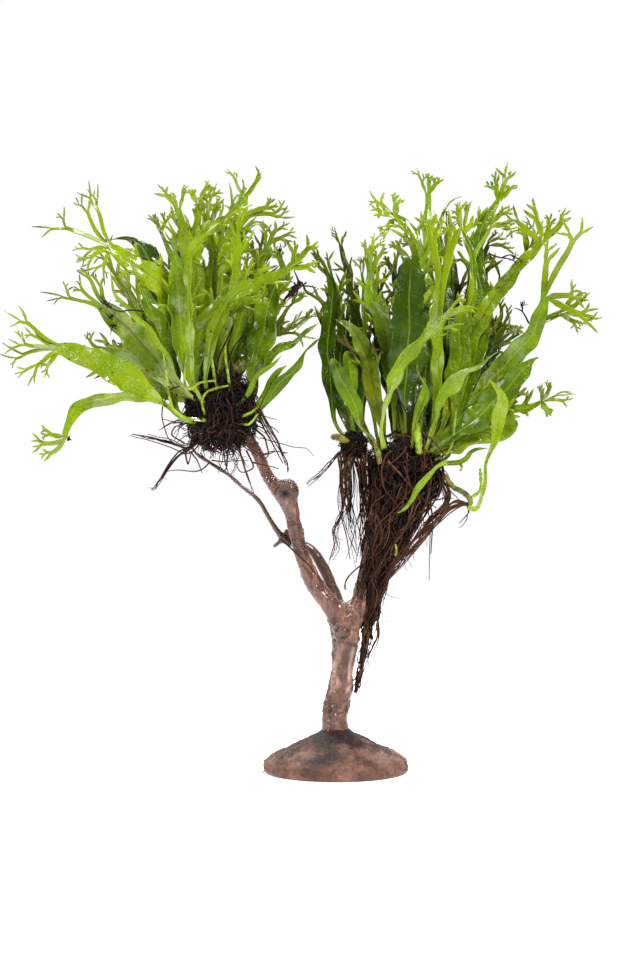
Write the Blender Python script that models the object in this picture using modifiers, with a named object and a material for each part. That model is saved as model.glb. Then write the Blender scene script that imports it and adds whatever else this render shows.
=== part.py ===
"""Java fern on driftwood: a forked branch on a cement foot that carries two clumps of a narrow-leaved
java fern with forked leaf tips, their creeping stems and their hanging roots.

The frame has its origin under the middle of the foot, x to the right, y away from the front and z up.
Sizes in the tables and constants are millimetres. Places are given on the upright plane through the
middle of the foot, as the front shows them; a point before or behind that plane is moved along the line
of sight, so that the front view stays true.
"""

from collections import namedtuple
from math import atan2, cos, radians, sin

import bmesh
import bpy
from mathutils import Vector

MM = 0.001
WELD = 0.00001
GAP = 0.3

VIEW_DISTANCE = 1250
VIEW_X = -10.7
VIEW_Z = 194

FOOT_RADIUS = 48.5
FOOT_HEIGHT = 26
FOOT_TOP_RADIUS = 11
FOOT_STEPS = 40

FORK_HEIGHT = 113
LEAF_THICKNESS = 0.8
LEAF_ROWS = 7
STALK_WIDTH = 3.2
PRONG_WIDTH = 4.4
PRONG_END_WIDTH = 2.2
PRONG_ROOM = 0.6
CUP = 0.1

Ball = namedtuple("Ball", "x y z width depth height")
LEFT_BALL = Ball(-76, 0, 240, 25, 24, 30)
RIGHT_BALL = Ball(46, 0, 206, 24, 22, 21)
SIDE_BALL = Ball(12, 2, 218, 9.5, 11, 9.5)

Leaf = namedtuple("Leaf", "width turn spine tips")
Clump = namedtuple("Clump", "heart_x heart_z reach base_spread tip_spread")
LEFT_CLUMP = Clump(-82, 243, 150, 16, 78)
RIGHT_CLUMP = Clump(58, 212, 165, 16, 78)

# The leaves of each clump stand in rows from the front to the back. A row holds the width as the front
# shows it, the turn of the blade about its spine in degrees, the spine from inside the roots to the
# crest, and the tips that the crest forks into.
LEFT_LEAVES = [
    Leaf(8, 50,
         [(-88, 245), (-95, 259), (-97, 287), (-98, 314), (-99, 334), (-95, 349), (-84, 360), (-71, 371),
          (-64, 380)],
         [(-75, 399), (-61, 392), (-49, 399)]),
    Leaf(18, -25,
         [(-86, 234), (-103, 236), (-117, 246), (-139, 262), (-151, 269), (-164, 275), (-176, 279),
          (-185, 281)],
         [(-206, 258), (-223, 273), (-217, 289), (-213, 311)]),
    Leaf(11, 35,
         [(-82, 246), (-87, 259), (-83, 287), (-72, 313), (-54, 325), (-37, 331), (-31, 335)],
         [(-29, 354), (-13, 356), (-11, 334)]),
    Leaf(13, -25,
         [(-88, 247), (-97, 259), (-102, 287), (-105, 314), (-107, 337), (-108, 352)],
         []),
    Leaf(20, -25,
         [(-88, 246), (-97, 262), (-103, 291), (-114, 321), (-131, 335), (-147, 346), (-154, 349)],
         [(-155, 321), (-174, 338), (-199, 367), (-171, 387), (-157, 392)]),
    Leaf(8, 35,
         [(-86, 232), (-101, 234), (-114, 244), (-127, 249), (-149, 249), (-165, 245), (-174, 241),
          (-178, 233), (-181, 223)],
         [(-196, 208), (-202, 217), (-197, 226)]),
    Leaf(12, 18,
         [(-84, 247), (-94, 259), (-92, 284), (-85, 302), (-74, 311), (-57, 314)],
         [(-45, 321), (-46, 313)]),
    Leaf(4, 50,
         [(-66, 234), (-59, 236), (-52, 244), (-44, 257), (-39, 266), (-33, 271)],
         []),
    Leaf(9, 40,
         [(-85, 247), (-93, 260), (-96, 294), (-99, 327), (-101, 354), (-103, 367), (-105, 374)],
         [(-121, 389), (-109, 386), (-97, 389)]),
    Leaf(18, 28,
         [(-88, 244), (-105, 254), (-114, 266), (-124, 279), (-135, 292), (-145, 301), (-155, 310)],
         [(-191, 313), (-176, 324), (-165, 339), (-155, 334)]),
    Leaf(16, 30,
         [(-68, 236), (-62, 240), (-56, 264), (-49, 291), (-44, 314), (-39, 327), (-35, 333)],
         [(-41, 347), (-24, 344)]),
    Leaf(5, -50,
         [(-66, 230), (-56, 233), (-47, 247), (-37, 259), (-27, 269), (-19, 281), (-11, 289)],
         []),
    Leaf(13, -35,
         [(-88, 236), (-102, 237), (-108, 245), (-110, 261), (-115, 284), (-125, 311), (-132, 327),
          (-135, 335)],
         []),
    Leaf(5, 50,
         [(-68, 236), (-57, 244), (-52, 264), (-45, 275), (-35, 282), (-24, 289), (-12, 299)],
         []),
    Leaf(9, -35,
         [(-83, 247), (-91, 260), (-91, 294), (-92, 327), (-94, 354), (-92, 371), (-91, 377)],
         [(-99, 387), (-87, 393), (-78, 387), (-79, 376)]),
    Leaf(14, -32,
         [(-76, 247), (-77, 259), (-76, 284), (-73, 307), (-65, 324), (-62, 333)],
         [(-69, 338), (-59, 344), (-49, 339)]),
    Leaf(13, -22,
         [(-80, 247), (-85, 260), (-83, 294), (-80, 321), (-74, 344), (-67, 361), (-61, 369)],
         [(-61, 387), (-39, 376), (-31, 370)]),
    Leaf(18, 22,
         [(-88, 243), (-105, 251), (-124, 265), (-141, 273), (-157, 279)],
         [(-171, 280), (-168, 292)]),
    Leaf(5, 45,
         [(-68, 238), (-58, 248), (-49, 281), (-41, 292), (-29, 295), (-20, 301)],
         [(-19, 307), (-11, 305)]),
    Leaf(11, -25,
         [(-72, 244), (-69, 252), (-65, 277), (-60, 297), (-52, 311), (-48, 315)],
         [(-47, 325), (-40, 317)]),
    Leaf(4, 40,
         [(-78, 246), (-82, 259), (-76, 301), (-67, 347), (-57, 363), (-48, 364), (-41, 354), (-41, 342)],
         []),
    Leaf(11, 20,
         [(-74, 244), (-71, 256), (-65, 287), (-59, 314), (-53, 331), (-51, 339)],
         [(-61, 351), (-52, 358), (-43, 352)]),
    Leaf(16, -30,
         [(-86, 246), (-94, 259), (-105, 301), (-117, 334), (-125, 349), (-137, 356), (-149, 354)],
         []),
]

RIGHT_LEAVES = [
    Leaf(7, -50,
         [(32, 215), (30, 227), (32, 239), (36, 254), (41, 267), (49, 279), (59, 289), (67, 297), (78, 308)],
         [(85, 317), (93, 309)]),
    Leaf(11, -25,
         [(58, 211), (63, 223), (67, 239), (74, 254), (83, 263), (93, 269), (108, 279)],
         []),
    Leaf(6, 45,
         [(50, 216), (52, 228), (55, 239), (58, 249), (59, 258), (55, 266), (54, 271)],
         []),
    Leaf(8, 40,
         [(58, 212), (63, 224), (67, 247), (68, 274), (67, 301), (69, 321), (69, 336)],
         [(45, 359), (55, 366), (63, 366), (73, 366), (82, 364)]),
    Leaf(17, 28,
         [(58, 210), (71, 219), (89, 231), (106, 247), (119, 261), (129, 272), (135, 276)],
         []),
    Leaf(6, 25,
         [(58, 209), (73, 217), (96, 231), (116, 239), (129, 243), (136, 246)],
         [(137, 257), (144, 259), (156, 255), (156, 247), (141, 240)]),
    Leaf(19, 8,
         [(58, 206), (71, 216), (83, 223), (96, 227), (109, 230), (121, 232)],
         []),
    Leaf(17, -25,
         [(58, 211), (70, 222), (84, 237), (99, 255), (113, 271), (124, 283), (131, 292), (136, 304),
          (139, 314)],
         [(139, 353), (171, 366), (168, 316), (174, 295)]),
    Leaf(9, 25,
         [(28, 214), (23, 224), (16, 231), (12, 244), (8, 255), (1, 265), (-3, 273)],
         []),
    Leaf(25, -22,
         [(46, 214), (46, 229), (46, 254), (48, 281), (49, 307), (49, 327), (50, 340)],
         [(36, 352), (46, 358)]),
    Leaf(12, 25,
         [(34, 214), (31, 230), (25, 254), (21, 274), (15, 289), (8, 297), (0, 301)],
         []),
    Leaf(10, -35,
         [(13, 219), (11, 230), (11, 244), (12, 257), (9, 269), (7, 279)],
         []),
    Leaf(12, 25,
         [(40, 214), (39, 229), (38, 251), (36, 274), (34, 291), (29, 304), (24, 314), (23, 331)],
         [(18, 352), (25, 358), (31, 349)]),
    Leaf(15, 14,
         [(60, 204), (74, 209), (79, 227), (79, 247), (81, 266), (83, 287), (83, 307)],
         []),
    Leaf(17, 18,
         [(59, 212), (70, 227), (79, 257), (89, 289), (99, 306), (109, 320), (119, 333), (129, 344),
          (136, 352)],
         [(113, 370), (129, 378), (143, 370), (157, 371)]),
    Leaf(11, 30,
         [(12, 219), (3, 226), (-2, 237), (-3, 254), (-5, 274), (-5, 294), (-3, 307), (-2, 321), (-4, 329)],
         [(-23, 341), (-15, 348), (-8, 347)]),
    Leaf(10, -20,
         [(58, 212), (64, 224), (66, 261), (63, 294), (56, 334), (53, 355), (46, 365), (40, 369)],
         [(30, 357), (24, 373), (25, 386), (41, 383)]),
    Leaf(13, 20,
         [(59, 211), (72, 224), (83, 247), (92, 275), (98, 301), (97, 321), (93, 339), (87, 354), (83, 362)],
         []),
    Leaf(8, -30,
         [(57, 212), (63, 225), (65, 261), (63, 294), (61, 347), (61, 374), (61, 384)],
         [(51, 399), (62, 399), (70, 394)]),
    Leaf(9, 30,
         [(58, 211), (70, 225), (84, 281), (90, 314), (94, 341), (97, 362), (103, 372), (108, 380)],
         [(102, 397), (113, 405), (118, 391)]),
    Leaf(5, 40,
         [(27, 214), (20, 228), (15, 247), (13, 307), (9, 321), (9, 331), (5, 341), (3, 350)],
         [(-5, 359), (-3, 362), (5, 359)]),
    Leaf(12, -35,
         [(59, 210), (72, 222), (92, 261), (104, 284), (111, 297)],
         [(109, 314), (119, 311), (123, 294)]),
    Leaf(5, 30,
         [(57, 212), (66, 224), (69, 250), (70, 287), (69, 341), (70, 369), (76, 379), (84, 383)],
         []),
]

# Three blades grow elsewhere than on the two stems: two on the hanging plantlet, one across the roots.
LOOSE_LEAVES = [
    ("plantlet_leaf", Leaf(10, 25,
          [(95, 178), (98, 194), (102, 211), (105, 226), (109, 242), (109, 253), (103, 261)],
          []), Clump(95, 176, 100, 6, 60)),
    ("hanging_leaf", Leaf(4, 40,
          [(74, 206), (66, 202), (59, 194), (51, 182), (45, 175), (41, 172)],
          []), Clump(74, 206, 40, 16, 25)),
]

FOOT_PROFILE = [(FOOT_RADIUS - 1.5, 0), (FOOT_RADIUS, 2), (FOOT_RADIUS, 6), (FOOT_RADIUS - 2.5, 9),
                (39, 13), (31, 17), (18, 22), (FOOT_TOP_RADIUS, FOOT_HEIGHT)]

# Each route of wood, stem or root is a list of x, y, z and radius.
TRUNK_ROUTE = [(-1, 0, FOOT_HEIGHT + 2 * GAP, 9.3), (-1, 0, 34, 8.4), (0, 0, 44, 8.6), (2, 0, 54, 8),
               (4, 0, 67, 7.4), (5.5, 0, 80, 8.3), (6, 0, 90, 10), (5, 0, 101, 11.2)]
LEFT_FORK_ROUTE = [(3, 0, 97, 8), (-1, 0, 106, 7.2), (-5, 0, FORK_HEIGHT, 6.6)]
LEFT_LIMB_ROUTE = [(-5, 0, FORK_HEIGHT, 6.6), (-12, 0, 121, 5.8), (-20.5, 0, 137, 5.2),
                   (-25.5, 0, 154, 5), (-29, 0, 171, 5.2), (-32.5, -1, 182, 8), (-34.5, -1, 189, 8),
                   (-38.5, 0, 195, 5.4), (-43, 0, 198.5, 4.4), (-51, 0, 211, 4), (-59, 0, 224, 3.8)]
RIGHT_FORK_ROUTE = [(9, 0, 97, 8), (14, 0, 106, 7.8), (17.5, 0, FORK_HEIGHT, 7.4)]
RIGHT_LIMB_ROUTE = [(17.5, 0, FORK_HEIGHT, 7.4), (20, 0, 125, 7.2), (23, 0, 137, 7),
                    (26.5, 0, 161, 6.6), (31, 0, 187, 6), (36, 0, 204, 5)]
CROSS_TWIG_ROUTE = [(7, 8, 108, 3.6), (-4.7, 10, 127, 4), (-10.7, 11, 139, 3.8), (-18, 12, 148, 3.4),
                    (-27, 11.5, 151, 3), (-35, 9, 154, 2.6), (-44, 7, 167, 1.8), (-52, 6, 180.5, 1.7),
                    (-64, 6, 190.5, 1.6), (-74, 6, 199, 1.5), (-86, 6, 206.5, 1.4), (-94, 6, 212, 1.3)]
TWIG_STUB_ROUTE = [(-32, 10, 151, 2.4), (-33, 10, 161, 2)]
TWIG_SPUR_ROUTE = [(-36, 8.5, 154, 2), (-42, 8, 149, 1.2)]

LEFT_STEM_ROUTE = [(-84, 0, 247, 2.4), (-78, 0, 257, 3.4), (-70, 0, 266, 4.2), (-63, 0, 270.5, 4.2)]
SIDE_STEM_ROUTE = [(9, -4, 219, 2), (2, -7, 222, 2.4), (-1.5, -8, 222.5, 2.2)]
RIGHT_STEM_ROUTE = [(26, -10, 219, 1.8), (27.5, -13, 213, 2), (28.5, -16, 206, 1.8)]
PLANTLET_STEM_ROUTE = [(72, -6, 197, 1.5), (77.5, -6, 189.5, 1.7), (84, -6, 186, 1.8), (89, -6, 181, 1.9),
                       (88, -6, 176, 1.4)]
SPROUT_ROUTE = [(88, -6, 181.5, 1.2), (95.5, -6, 187, 1), (96, -6, 196, 1), (95.5, -6, 201, 0.7)]

ROOT_RADIUS = 0.9
ROOT_COLUMN_ROUTE = [(44, 0, 200, 19), (40, 1, 187, 17), (36, 1, 172, 14.5), (31.5, 1, 155, 12),
                     (27, 1, 138, 9), (24, 1, 122, 6.4), (22.8, 1, 108, 4.8), (22.4, 1, 98, 4.6),
                     (21.6, 2, 86, 4), (18.8, 3, 70, 3), (15.2, 3, 56, 1.8)]
LEFT_STRANDS = [
    [(-90, -6, 222), (-99, -8, 215), (-111, -10, 219), (-127, -14, 223), (-139, -16, 225)],
    [(-90, 2, 222), (-99, 2, 214), (-107, 4, 209), (-119, 6, 192), (-124, 8, 185)],
    [(-66, -4, 222), (-63, -8, 211), (-59, -10, 197), (-54, -12, 184)],
    [(-60, -10, 240), (-52, -14, 239), (-45, -15, 227), (-39, -15, 217), (-33, -14, 205), (-31.5, -14, 198)],
    [(-68, -6, 226), (-60, -12, 216), (-49, -14, 211), (-40, -16, 213), (-31, -18, 212)],
]
RIGHT_STRANDS = [
    [(62, -2, 208), (68, -4, 199), (74, -4, 181), (62, -6, 167), (49, -8, 151), (39, -8, 139), (30, -6, 124)],
    [(54, -6, 192), (61, -8, 174), (61.5, -10, 150), (61, -10, 125)],
    [(33, -6, 150), (20, -9, 140), (8, -12, 130), (6, -12, 122), (12, -11, 118)],
    [(40, 8, 170), (52, 14, 152), (50, 16, 132)],
]
SIDE_STRANDS = [
    [(10, -2, 214), (8, -8, 205), (5, -9, 187), (3, -10, 171), (-1, -11, 161), (0, -12, 150), (-6, -13, 137)],
    [(8, 0, 214), (0, -8, 210), (-7, -11, 201), (-17, -14, 192), (-21, -15, 190)],
]

parts = None
cutters = None


def material(name, colour, roughness):
    """Make a Principled material in one colour."""
    made = bpy.data.materials.new(name)
    made.use_nodes = True
    shader = made.node_tree.nodes["Principled BSDF"]
    shader.inputs["Base Color"].default_value = (*colour, 1)
    shader.inputs["Roughness"].default_value = roughness
    shader.inputs["Metallic"].default_value = 0
    return made


def as_seen(x, y, z):
    """Place a point so that the front shows it at x and z, however far back it stands; in metres."""
    spread = (VIEW_DISTANCE + y) / VIEW_DISTANCE
    return Vector((VIEW_X + (x - VIEW_X) * spread, y, VIEW_Z + (z - VIEW_Z) * spread)) * MM


def smooth(points, steps):
    """Points along a smooth line through the given ones, with some steps on each stretch."""
    ends = [points[0]] + list(points) + [points[-1]]
    line = []
    for before, start, end, after in zip(ends, ends[1:], ends[2:], ends[3:]):
        for step in range(steps):
            t = step / steps
            line.append(tuple(
                0.5 * (2 * b + (c - a) * t + (2 * a - 5 * b + 4 * c - d) * t * t + (3 * b - a - 3 * c + d) * t**3)
                for a, b, c, d in zip(before, start, end, after)
            ))
    line.append(tuple(points[-1]))
    return line


def put(name, mesh, look, collection):
    """Make an object from a mesh, in one look."""
    made = bpy.data.objects.new(name, mesh)
    collection.objects.link(made)
    if look:
        mesh.materials.append(look)
    return made


def tube_mesh(name, route, steps=2, rounding=2, grow=0.0):
    """A closed tube along a smooth route of x, y, z and radius; grow makes a cutter bigger all round."""
    line = smooth(route, steps)
    if grow:
        for end, inner in ((0, 1), (-1, -2)):
            tip = Vector(line[end][:3])
            outward = (tip - Vector(line[inner][:3])).normalized() * grow
            line[end] = (*(tip + outward), line[end][3])
    curve = bpy.data.curves.new(name + "_route", "CURVE")
    curve.dimensions = "3D"
    curve.bevel_depth = MM
    curve.bevel_resolution = rounding
    curve.use_fill_caps = True
    spline = curve.splines.new("POLY")
    spline.points.add(len(line) - 1)
    for point, (x, y, z, radius) in zip(spline.points, line):
        point.co = (x * MM, y * MM, z * MM, 1)
        point.radius = radius + grow
    guide = bpy.data.objects.new(name + "_route", curve)
    bpy.context.scene.collection.objects.link(guide)
    bpy.context.view_layer.update()
    shaped = guide.evaluated_get(bpy.context.evaluated_depsgraph_get())
    mesh = bpy.data.meshes.new_from_object(shaped)
    mesh.name = name
    bpy.data.objects.remove(guide)
    bpy.data.curves.remove(curve)
    form = bmesh.new()
    form.from_mesh(mesh)
    bmesh.ops.remove_doubles(form, verts=form.verts, dist=WELD)
    form.to_mesh(mesh)
    form.free()
    mesh.shade_smooth()
    return mesh


def ball_mesh(name, ball, around=20, rings=12, grow=0.0):
    """A lumpy ball of roots; its hollows go inwards only."""
    form = bmesh.new()
    bmesh.ops.create_uvsphere(form, u_segments=around, v_segments=rings, radius=1)
    for corner in form.verts:
        side = corner.co.copy()
        hollow = 1 - 0.05 * (1 + sin(5 * side.x + 3 * side.z) * cos(4 * side.y - 3 * side.z))
        corner.co = Vector((
            (ball.x + side.x * (ball.width * hollow + grow)) * MM,
            (ball.y + side.y * (ball.depth * hollow + grow)) * MM,
            (ball.z + side.z * (ball.height * hollow + grow)) * MM,
        ))
    mesh = bpy.data.meshes.new(name)
    form.to_mesh(mesh)
    form.free()
    mesh.shade_smooth()
    return mesh


def combine(target, name, mesh, operation):
    """Join a mesh to a piece, or cut it out of the piece."""
    tool = put(name, mesh, None, cutters)
    tool.hide_render = True
    tool.display_type = "WIRE"
    boolean = target.modifiers.new(name, "BOOLEAN")
    boolean.operation = operation
    boolean.solver = "EXACT"
    boolean.object = tool


def in_ball(point, ball, margin):
    """Whether a point lies inside a ball grown by a margin."""
    x, y, z = point
    return (
        ((x - ball.x) / (ball.width + margin)) ** 2
        + ((y - ball.y) / (ball.depth + margin)) ** 2
        + ((z - ball.z) / (ball.height + margin)) ** 2
    ) < 1


def leaf_depths(clump, place, count):
    """Depths of a leaf at its clump's heart and at the reach, by its place from front to back."""
    share = 2 * place / (count - 1) - 1
    return clump.base_spread * share, clump.tip_spread * share


def leaf_mesh(name, leaf, clump, base_depth, tip_depth, balls):
    """A thin blade along its spine, with a narrow stalk and a crest of prongs, without thickness."""
    def depth(x, z):
        out = ((x - clump.heart_x) ** 2 + (z - clump.heart_z) ** 2) ** 0.5 / clump.reach
        return base_depth + (tip_depth - base_depth) * min(out, 1.3)

    line = [Vector((x, depth(x, z), z)) for x, z in smooth(leaf.spine, 6)]
    while any(in_ball(line[0], ball, 1.0) for ball in balls):
        line.pop(0)
    lengths = [0.0]
    for start, end in zip(line, line[1:]):
        lengths.append(lengths[-1] + (end - start).length)

    def along(share):
        goal = share * lengths[-1]
        for index in range(len(line) - 1):
            if lengths[index + 1] >= goal:
                part = (goal - lengths[index]) / (lengths[index + 1] - lengths[index])
                return line[index].lerp(line[index + 1], part)
        return line[-1]

    def axes(share):
        ahead = (along(min(share + 0.03, 1)) - along(max(share - 0.03, 0))).normalized()
        flat = Vector((ahead.z, 0, -ahead.x)).normalized()
        front = flat.cross(ahead)
        turn = radians(leaf.turn) * min(share * 2.5, 1)
        across = flat * cos(turn) + front * sin(turn)
        return ahead, across, across.cross(ahead)

    def half_width(share):
        full = leaf.width / cos(radians(leaf.turn)) / 2
        stalk = min(STALK_WIDTH / 2, full)
        rise = min(max((share - 0.08) / 0.27, 0), 1)
        width = stalk + (full - stalk) * rise * rise * (3 - 2 * rise)
        if leaf.tips:
            fall = min(max((share - 0.6) / 0.4, 0), 1)
            return width * (1 - 0.45 * fall * fall)
        fall = min(max((share - 0.55) / 0.45, 0), 1)
        return width * max(1 - fall**2.4, 0.12)

    columns = max(len(leaf.tips), 2)
    form = bmesh.new()
    bmesh.ops.create_grid(form, x_segments=columns, y_segments=LEAF_ROWS, size=1)
    for corner in form.verts:
        side = corner.co.x
        share = (corner.co.y + 1) / 2
        ahead, across, front = axes(share)
        half = half_width(share)
        corner.co = along(share) + across * side * half + front * CUP * half * side * side
        corner.tag = share > 0.999

    ahead, across, front = axes(1)
    crest = along(1)

    def swing(point):
        reach = point - crest
        return atan2(reach.dot(across), reach.dot(ahead))

    def prong(root, tip, share):
        """A point on the curved middle line of a prong."""
        bend = root + ahead * (tip - root).length * 0.45 * max(cos(swing(tip)), 0.2)
        return root * (1 - share) ** 2 + bend * 2 * share * (1 - share) + tip * share**2

    tips = sorted((Vector((x, depth(x, z), z)) for x, z in leaf.tips), key=swing)
    edges = [edge for edge in form.edges if all(corner.tag for corner in edge.verts)]
    edges.sort(key=lambda edge: (edge.verts[0].co + edge.verts[1].co).dot(across))
    roots = [(edge.verts[0].co + edge.verts[1].co) / 2 for edge in edges]
    for number, (edge, root, tip) in enumerate(zip(edges, roots, tips)):
        pair = sorted(edge.verts, key=lambda corner: corner.co.dot(across))
        for share, widest in ((0.5, PRONG_WIDTH), (1.0, PRONG_END_WIDTH)):
            place = prong(root, tip, share)
            sideways = (place - prong(root, tip, share - 0.1)).cross(front).normalized()
            rooms = [(place - prong(*other, share)).length
                     for count, other in enumerate(zip(roots, tips)) if count != number]
            width = min([widest] + [room * PRONG_ROOM for room in rooms])
            grown = bmesh.ops.extrude_edge_only(form, edges=[form.edges.get(pair)])["geom"]
            fresh = {item for item in grown if isinstance(item, bmesh.types.BMVert)}
            pair = [next(side.other_vert(corner) for side in corner.link_edges
                         if side.other_vert(corner) in fresh) for corner in pair]
            pair[0].co = place - sideways * width / 2
            pair[1].co = place + sideways * width / 2

    for corner in form.verts:
        corner.co = as_seen(*corner.co)
    bmesh.ops.recalc_face_normals(form, faces=form.faces)
    mesh = bpy.data.meshes.new(name)
    form.to_mesh(mesh)
    form.free()
    mesh.shade_smooth()
    return mesh


def add_leaf(name, leaf, clump, base_depth, tip_depth, look):
    """One leaf as a thin solid."""
    balls = (LEFT_BALL, RIGHT_BALL, SIDE_BALL)
    blade = put(name, leaf_mesh(name, leaf, clump, base_depth, tip_depth, balls), look, parts)
    skin = blade.modifiers.new("thickness", "SOLIDIFY")
    skin.thickness = LEAF_THICKNESS * MM
    skin.offset = 0


def add_leaves(look):
    """Both clumps' leaves, then the ones that grow elsewhere."""
    for side, clump, leaves in (("left", LEFT_CLUMP, LEFT_LEAVES), ("right", RIGHT_CLUMP, RIGHT_LEAVES)):
        for place, leaf in enumerate(leaves):
            base_depth, tip_depth = leaf_depths(clump, place, len(leaves))
            add_leaf(f"{side}_leaf_{place + 1:02}", leaf, clump, base_depth, tip_depth, look)
    for name, leaf, clump in LOOSE_LEAVES:
        add_leaf(name, leaf, clump, -clump.base_spread, -clump.tip_spread, look)


def add_foot(look):
    """The low cement cone, turned round its upright axis."""
    form = bmesh.new()
    corners = [form.verts.new((radius * MM, 0, height * MM)) for radius, height in reversed(FOOT_PROFILE)]
    for first, second in zip(corners, corners[1:]):
        form.edges.new((first, second))
    mesh = bpy.data.meshes.new("foot")
    form.to_mesh(mesh)
    form.free()
    turned = put("foot_profile", mesh, None, cutters)
    screw = turned.modifiers.new("turn", "SCREW")
    screw.steps = FOOT_STEPS
    screw.render_steps = FOOT_STEPS
    screw.use_merge_vertices = True
    screw.merge_threshold = WELD
    bpy.context.view_layer.update()
    shaped = turned.evaluated_get(bpy.context.evaluated_depsgraph_get())
    body = bpy.data.meshes.new_from_object(shaped)
    bpy.data.objects.remove(turned)
    body.name = "foot"
    form = bmesh.new()
    form.from_mesh(body)
    bmesh.ops.holes_fill(form, edges=[edge for edge in form.edges if edge.is_boundary], sides=0)
    bmesh.ops.recalc_face_normals(form, faces=form.faces)
    form.to_mesh(body)
    form.free()
    body.shade_smooth()
    body.set_sharp_from_angle(angle=radians(40))
    put("foot", body, look, parts)


def add_wood(look):
    """The driftwood, as a trunk with two forks, a limb on each fork, and a thin twig behind."""
    trunk = put("trunk", tube_mesh("trunk", TRUNK_ROUTE), look, parts)
    combine(trunk, "left_fork", tube_mesh("left_fork", LEFT_FORK_ROUTE), "UNION")
    combine(trunk, "right_fork", tube_mesh("right_fork", RIGHT_FORK_ROUTE), "UNION")
    for name, route, fork in (
        ("left_limb", LEFT_LIMB_ROUTE, LEFT_FORK_ROUTE),
        ("right_limb", RIGHT_LIMB_ROUTE, RIGHT_FORK_ROUTE),
    ):
        limb = put(name, tube_mesh(name, route), look, parts)
        room = name + "_fork_room"
        combine(limb, room, tube_mesh(room, fork, grow=GAP + 0.1), "DIFFERENCE")
    twig = put("cross_twig", tube_mesh("cross_twig", CROSS_TWIG_ROUTE, rounding=1), look, parts)
    combine(twig, "twig_stub", tube_mesh("twig_stub", TWIG_STUB_ROUTE, rounding=1), "UNION")
    combine(twig, "twig_spur", tube_mesh("twig_spur", TWIG_SPUR_ROUTE, rounding=1), "UNION")
    for name, route in (
        ("twig_room_by_trunk", TRUNK_ROUTE),
        ("twig_room_by_left_fork", LEFT_FORK_ROUTE),
        ("twig_room_by_right_fork", RIGHT_FORK_ROUTE),
        ("twig_room_by_left_limb", LEFT_LIMB_ROUTE),
        ("twig_room_by_right_limb", RIGHT_LIMB_ROUTE),
    ):
        combine(twig, name, tube_mesh(name, route, grow=GAP + 0.1), "DIFFERENCE")


def add_stems(look):
    """The creeping stems that the leaves and roots grow from."""
    put("left_stem", tube_mesh("left_stem", LEFT_STEM_ROUTE), look, parts)
    put("side_stem", tube_mesh("side_stem", SIDE_STEM_ROUTE, rounding=1), look, parts)
    put("right_stem", tube_mesh("right_stem", RIGHT_STEM_ROUTE, rounding=1), look, parts)
    plantlet = put("plantlet_stem", tube_mesh("plantlet_stem", PLANTLET_STEM_ROUTE, rounding=1), look, parts)
    combine(plantlet, "sprout", tube_mesh("sprout", SPROUT_ROUTE, rounding=1), "UNION")


def add_roots(look, name, ball, strands, rooms):
    """A ball of roots with its thickest strands, and with room for what runs through it."""
    roots = put(name, ball_mesh(name, ball), look, parts)
    for number, strand in enumerate(strands, 1):
        route = [(*point, ROOT_RADIUS) for point in strand]
        strand_name = f"{name}_strand_{number}"
        combine(roots, strand_name, tube_mesh(strand_name, route, rounding=0), "UNION")
    for room, route in rooms:
        combine(roots, room, tube_mesh(room, route, grow=GAP + 0.1), "DIFFERENCE")
    return roots


def add_root_masses(look):
    """The roots of the left clump, of the right clump and of the little clump between them."""
    add_roots(look, "left_roots", LEFT_BALL, LEFT_STRANDS,
              [("left_roots_limb_room", LEFT_LIMB_ROUTE), ("left_roots_stem_room", LEFT_STEM_ROUTE)])
    right = put("right_roots", tube_mesh("right_roots", ROOT_COLUMN_ROUTE), look, parts)
    combine(right, "right_roots_head", ball_mesh("right_roots_head", RIGHT_BALL), "UNION")
    for number, strand in enumerate(RIGHT_STRANDS, 1):
        route = [(*point, ROOT_RADIUS) for point in strand]
        name = f"right_roots_strand_{number}"
        combine(right, name, tube_mesh(name, route, rounding=0), "UNION")
    for name, route in (
        ("right_roots_limb_room", RIGHT_LIMB_ROUTE),
        ("right_roots_fork_room", RIGHT_FORK_ROUTE),
        ("right_roots_trunk_room", TRUNK_ROUTE),
        ("right_roots_stem_room", RIGHT_STEM_ROUTE),
        ("right_roots_plantlet_room", PLANTLET_STEM_ROUTE),
    ):
        combine(right, name, tube_mesh(name, route, grow=GAP + 0.1), "DIFFERENCE")
    side = add_roots(look, "side_roots", SIDE_BALL, SIDE_STRANDS, [("side_roots_stem_room", SIDE_STEM_ROUTE)])
    combine(side, "side_roots_head_room", ball_mesh("side_roots_head_room", RIGHT_BALL, grow=GAP + 0.2),
            "DIFFERENCE")
    combine(side, "side_roots_column_room",
            tube_mesh("side_roots_column_room", ROOT_COLUMN_ROUTE, grow=GAP + 0.2), "DIFFERENCE")


def build():
    """Clear the scene and build the plant."""
    global parts, cutters
    for old in list(bpy.data.objects):
        bpy.data.objects.remove(old)
    parts = bpy.data.collections.new("java_fern_on_driftwood")
    cutters = bpy.data.collections.new("cutters")
    for group in (parts, cutters):
        bpy.context.scene.collection.children.link(group)
    add_foot(material("cement", (0.16, 0.09, 0.07), 0.8))
    add_wood(material("driftwood", (0.26, 0.14, 0.1), 0.5))
    add_stems(material("stem", (0.3, 0.26, 0.04), 0.5))
    add_root_masses(material("roots", (0.03, 0.014, 0.01), 0.6))
    add_leaves(material("leaf", (0.2, 0.36, 0.02), 0.35))


build()
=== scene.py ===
import bisect
from collections import namedtuple
from math import atan2, cos, exp, pi, radians, sin
from random import Random

import bmesh
import bpy
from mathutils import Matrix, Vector, noise


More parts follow.
